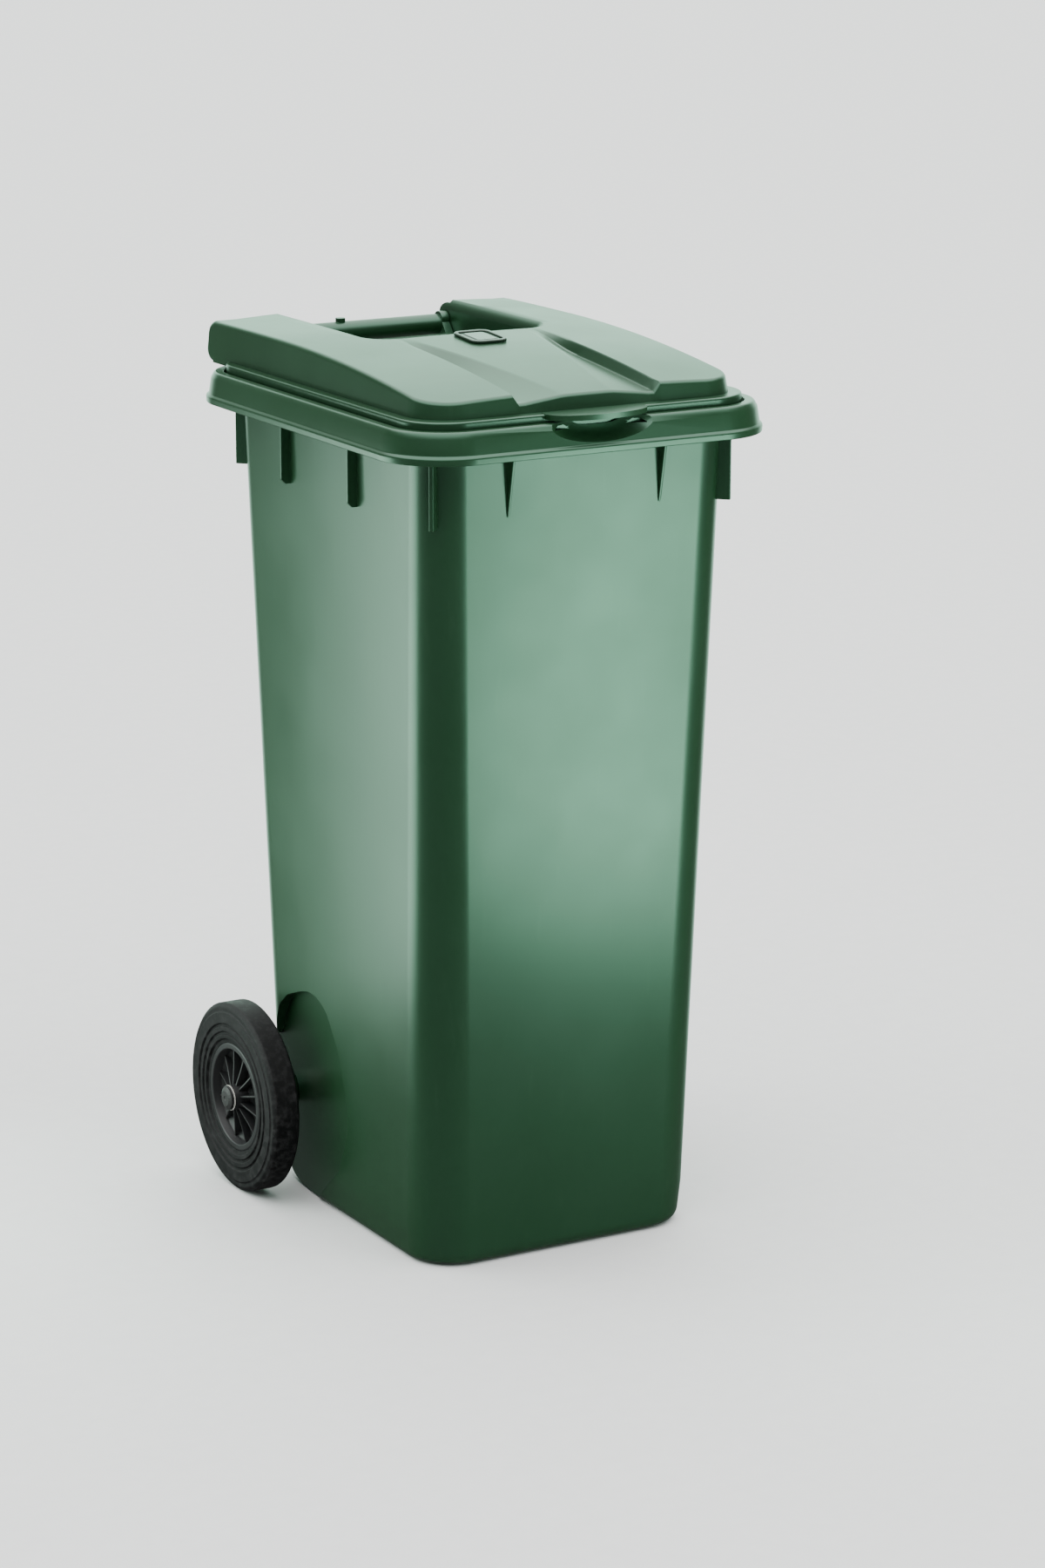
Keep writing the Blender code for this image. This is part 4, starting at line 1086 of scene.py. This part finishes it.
# ---------------------------------------------------------------- assembly
def dress(nodes, material):
    for name in nodes:
        carried = bpy.data.objects[name]
        for slot in carried.material_slots:
            slot.material = material


tub = make_tub()
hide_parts("bin_body")
make_ribs()
make_axle_supports()
make_handle()
lid = make_lid()
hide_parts("lid")
for word, side in (("left", -1), ("right", 1)):
    make_tyre(word, side)
    make_rim(word, side)
    dress([f"{word}_inner_bush", f"{word}_outer_bush", f"{word}_spacer"], MATERIALS["nylon"])
    dress([f"{word}_washer"], MATERIALS["dull_steel"])
    dress([f"{word}_hinge_pin", f"{word}_axle_cap"], MATERIALS["black"])
dress(["axle"], MATERIALS["steel"])
dress(["badge_frame"], MATERIALS["badge_dark"])
dress(["badge_plate"], MATERIALS["badge_plate"])


# ---------------------------------------------------------------- studio
def add_floor():
    bm = bmesh.new()
    bmesh.ops.create_grid(bm, x_segments=8, y_segments=8, size=FLOOR_HALF)
    floor = object_from("studio_floor", bm)
    material, tree, shader = new_material("floor_paper")
    grain = noise(tree, coordinates(tree), 40.0, 3.0)
    colour = mix_colour(tree, spread(tree, grain, 0.0, 1.0), (0.79, 0.79, 0.79), (0.81, 0.81, 0.81))
    tree.links.new(colour, shader.inputs["Base Color"])
    shader.inputs["Roughness"].default_value = 0.9
    shader.inputs["Specular IOR Level"].default_value = 0.2
    floor.data.materials.append(material)
    floor.location.z = -FLOOR_DROP
    floor.visible_glossy = False


def add_softbox(name, location, target, width, height, power):
    data = bpy.data.lights.new(name, "AREA")
    data.shape = "RECTANGLE"
    data.size = width
    data.size_y = height
    data.energy = power
    data.color = PANEL_TINT
    data.spread = math.radians(PANEL_BEAM)
    light = bpy.data.objects.new(name, data)
    light.location = location
    light.visible_camera = False
    bpy.context.scene.collection.objects.link(light)
    aim(light, target)


def add_world():
    """Bright overhead and behind the bin, dim all round at eye level and below."""
    world = bpy.data.worlds.new("studio")
    bpy.context.scene.world = world
    world.use_nodes = True
    tree = world.node_tree
    source = node(tree, "ShaderNodeTexCoord")

    def band(direction, limits, strength):
        """Strength that rises from none to full between two cosines of the angle to a direction."""
        dot = node(tree, "ShaderNodeVectorMath", operation="DOT_PRODUCT")
        dot.inputs[1].default_value = Vector(direction).normalized()
        tree.links.new(source.outputs["Generated"], dot.inputs[0])
        share = node(tree, "ShaderNodeMapRange", interpolation_type="SMOOTHSTEP")
        share.inputs["From Min"].default_value, share.inputs["From Max"].default_value = limits
        share.inputs["To Max"].default_value = strength
        tree.links.new(dot.outputs["Value"], share.inputs["Value"])
        return share.outputs["Result"]

    overhead = band((0, 0, 1), OVERHEAD_RANGE, OVERHEAD_GLOW)
    behind = node(tree, "ShaderNodeMath", operation="MULTIPLY")
    tree.links.new(band(BACK_DIRECTION, BACK_RANGE, BACK_GLOW), behind.inputs[0])
    tree.links.new(band((0, 0, 1), BACK_HEIGHT_RANGE, 1.0), behind.inputs[1])
    lifted = node(tree, "ShaderNodeMath", operation="ADD")
    tree.links.new(overhead, lifted.inputs[0])
    lifted.inputs[1].default_value = BASE_GLOW
    plain = tree.nodes["Background"]
    plain.inputs["Color"].default_value = (1.0, 1.0, 1.0, 1.0)
    tree.links.new(lifted.outputs["Value"], plain.inputs["Strength"])
    tinted = node(tree, "ShaderNodeBackground")
    tinted.inputs["Color"].default_value = BACK_TINT
    tree.links.new(behind.outputs["Value"], tinted.inputs["Strength"])
    both = node(tree, "ShaderNodeAddShader")
    tree.links.new(plain.outputs["Background"], both.inputs[0])
    tree.links.new(tinted.outputs["Background"], both.inputs[1])
    tree.links.new(both.outputs["Shader"], tree.nodes["World Output"].inputs["Surface"])


add_floor()
add_world()
for panel in PANELS:
    add_softbox(*panel)
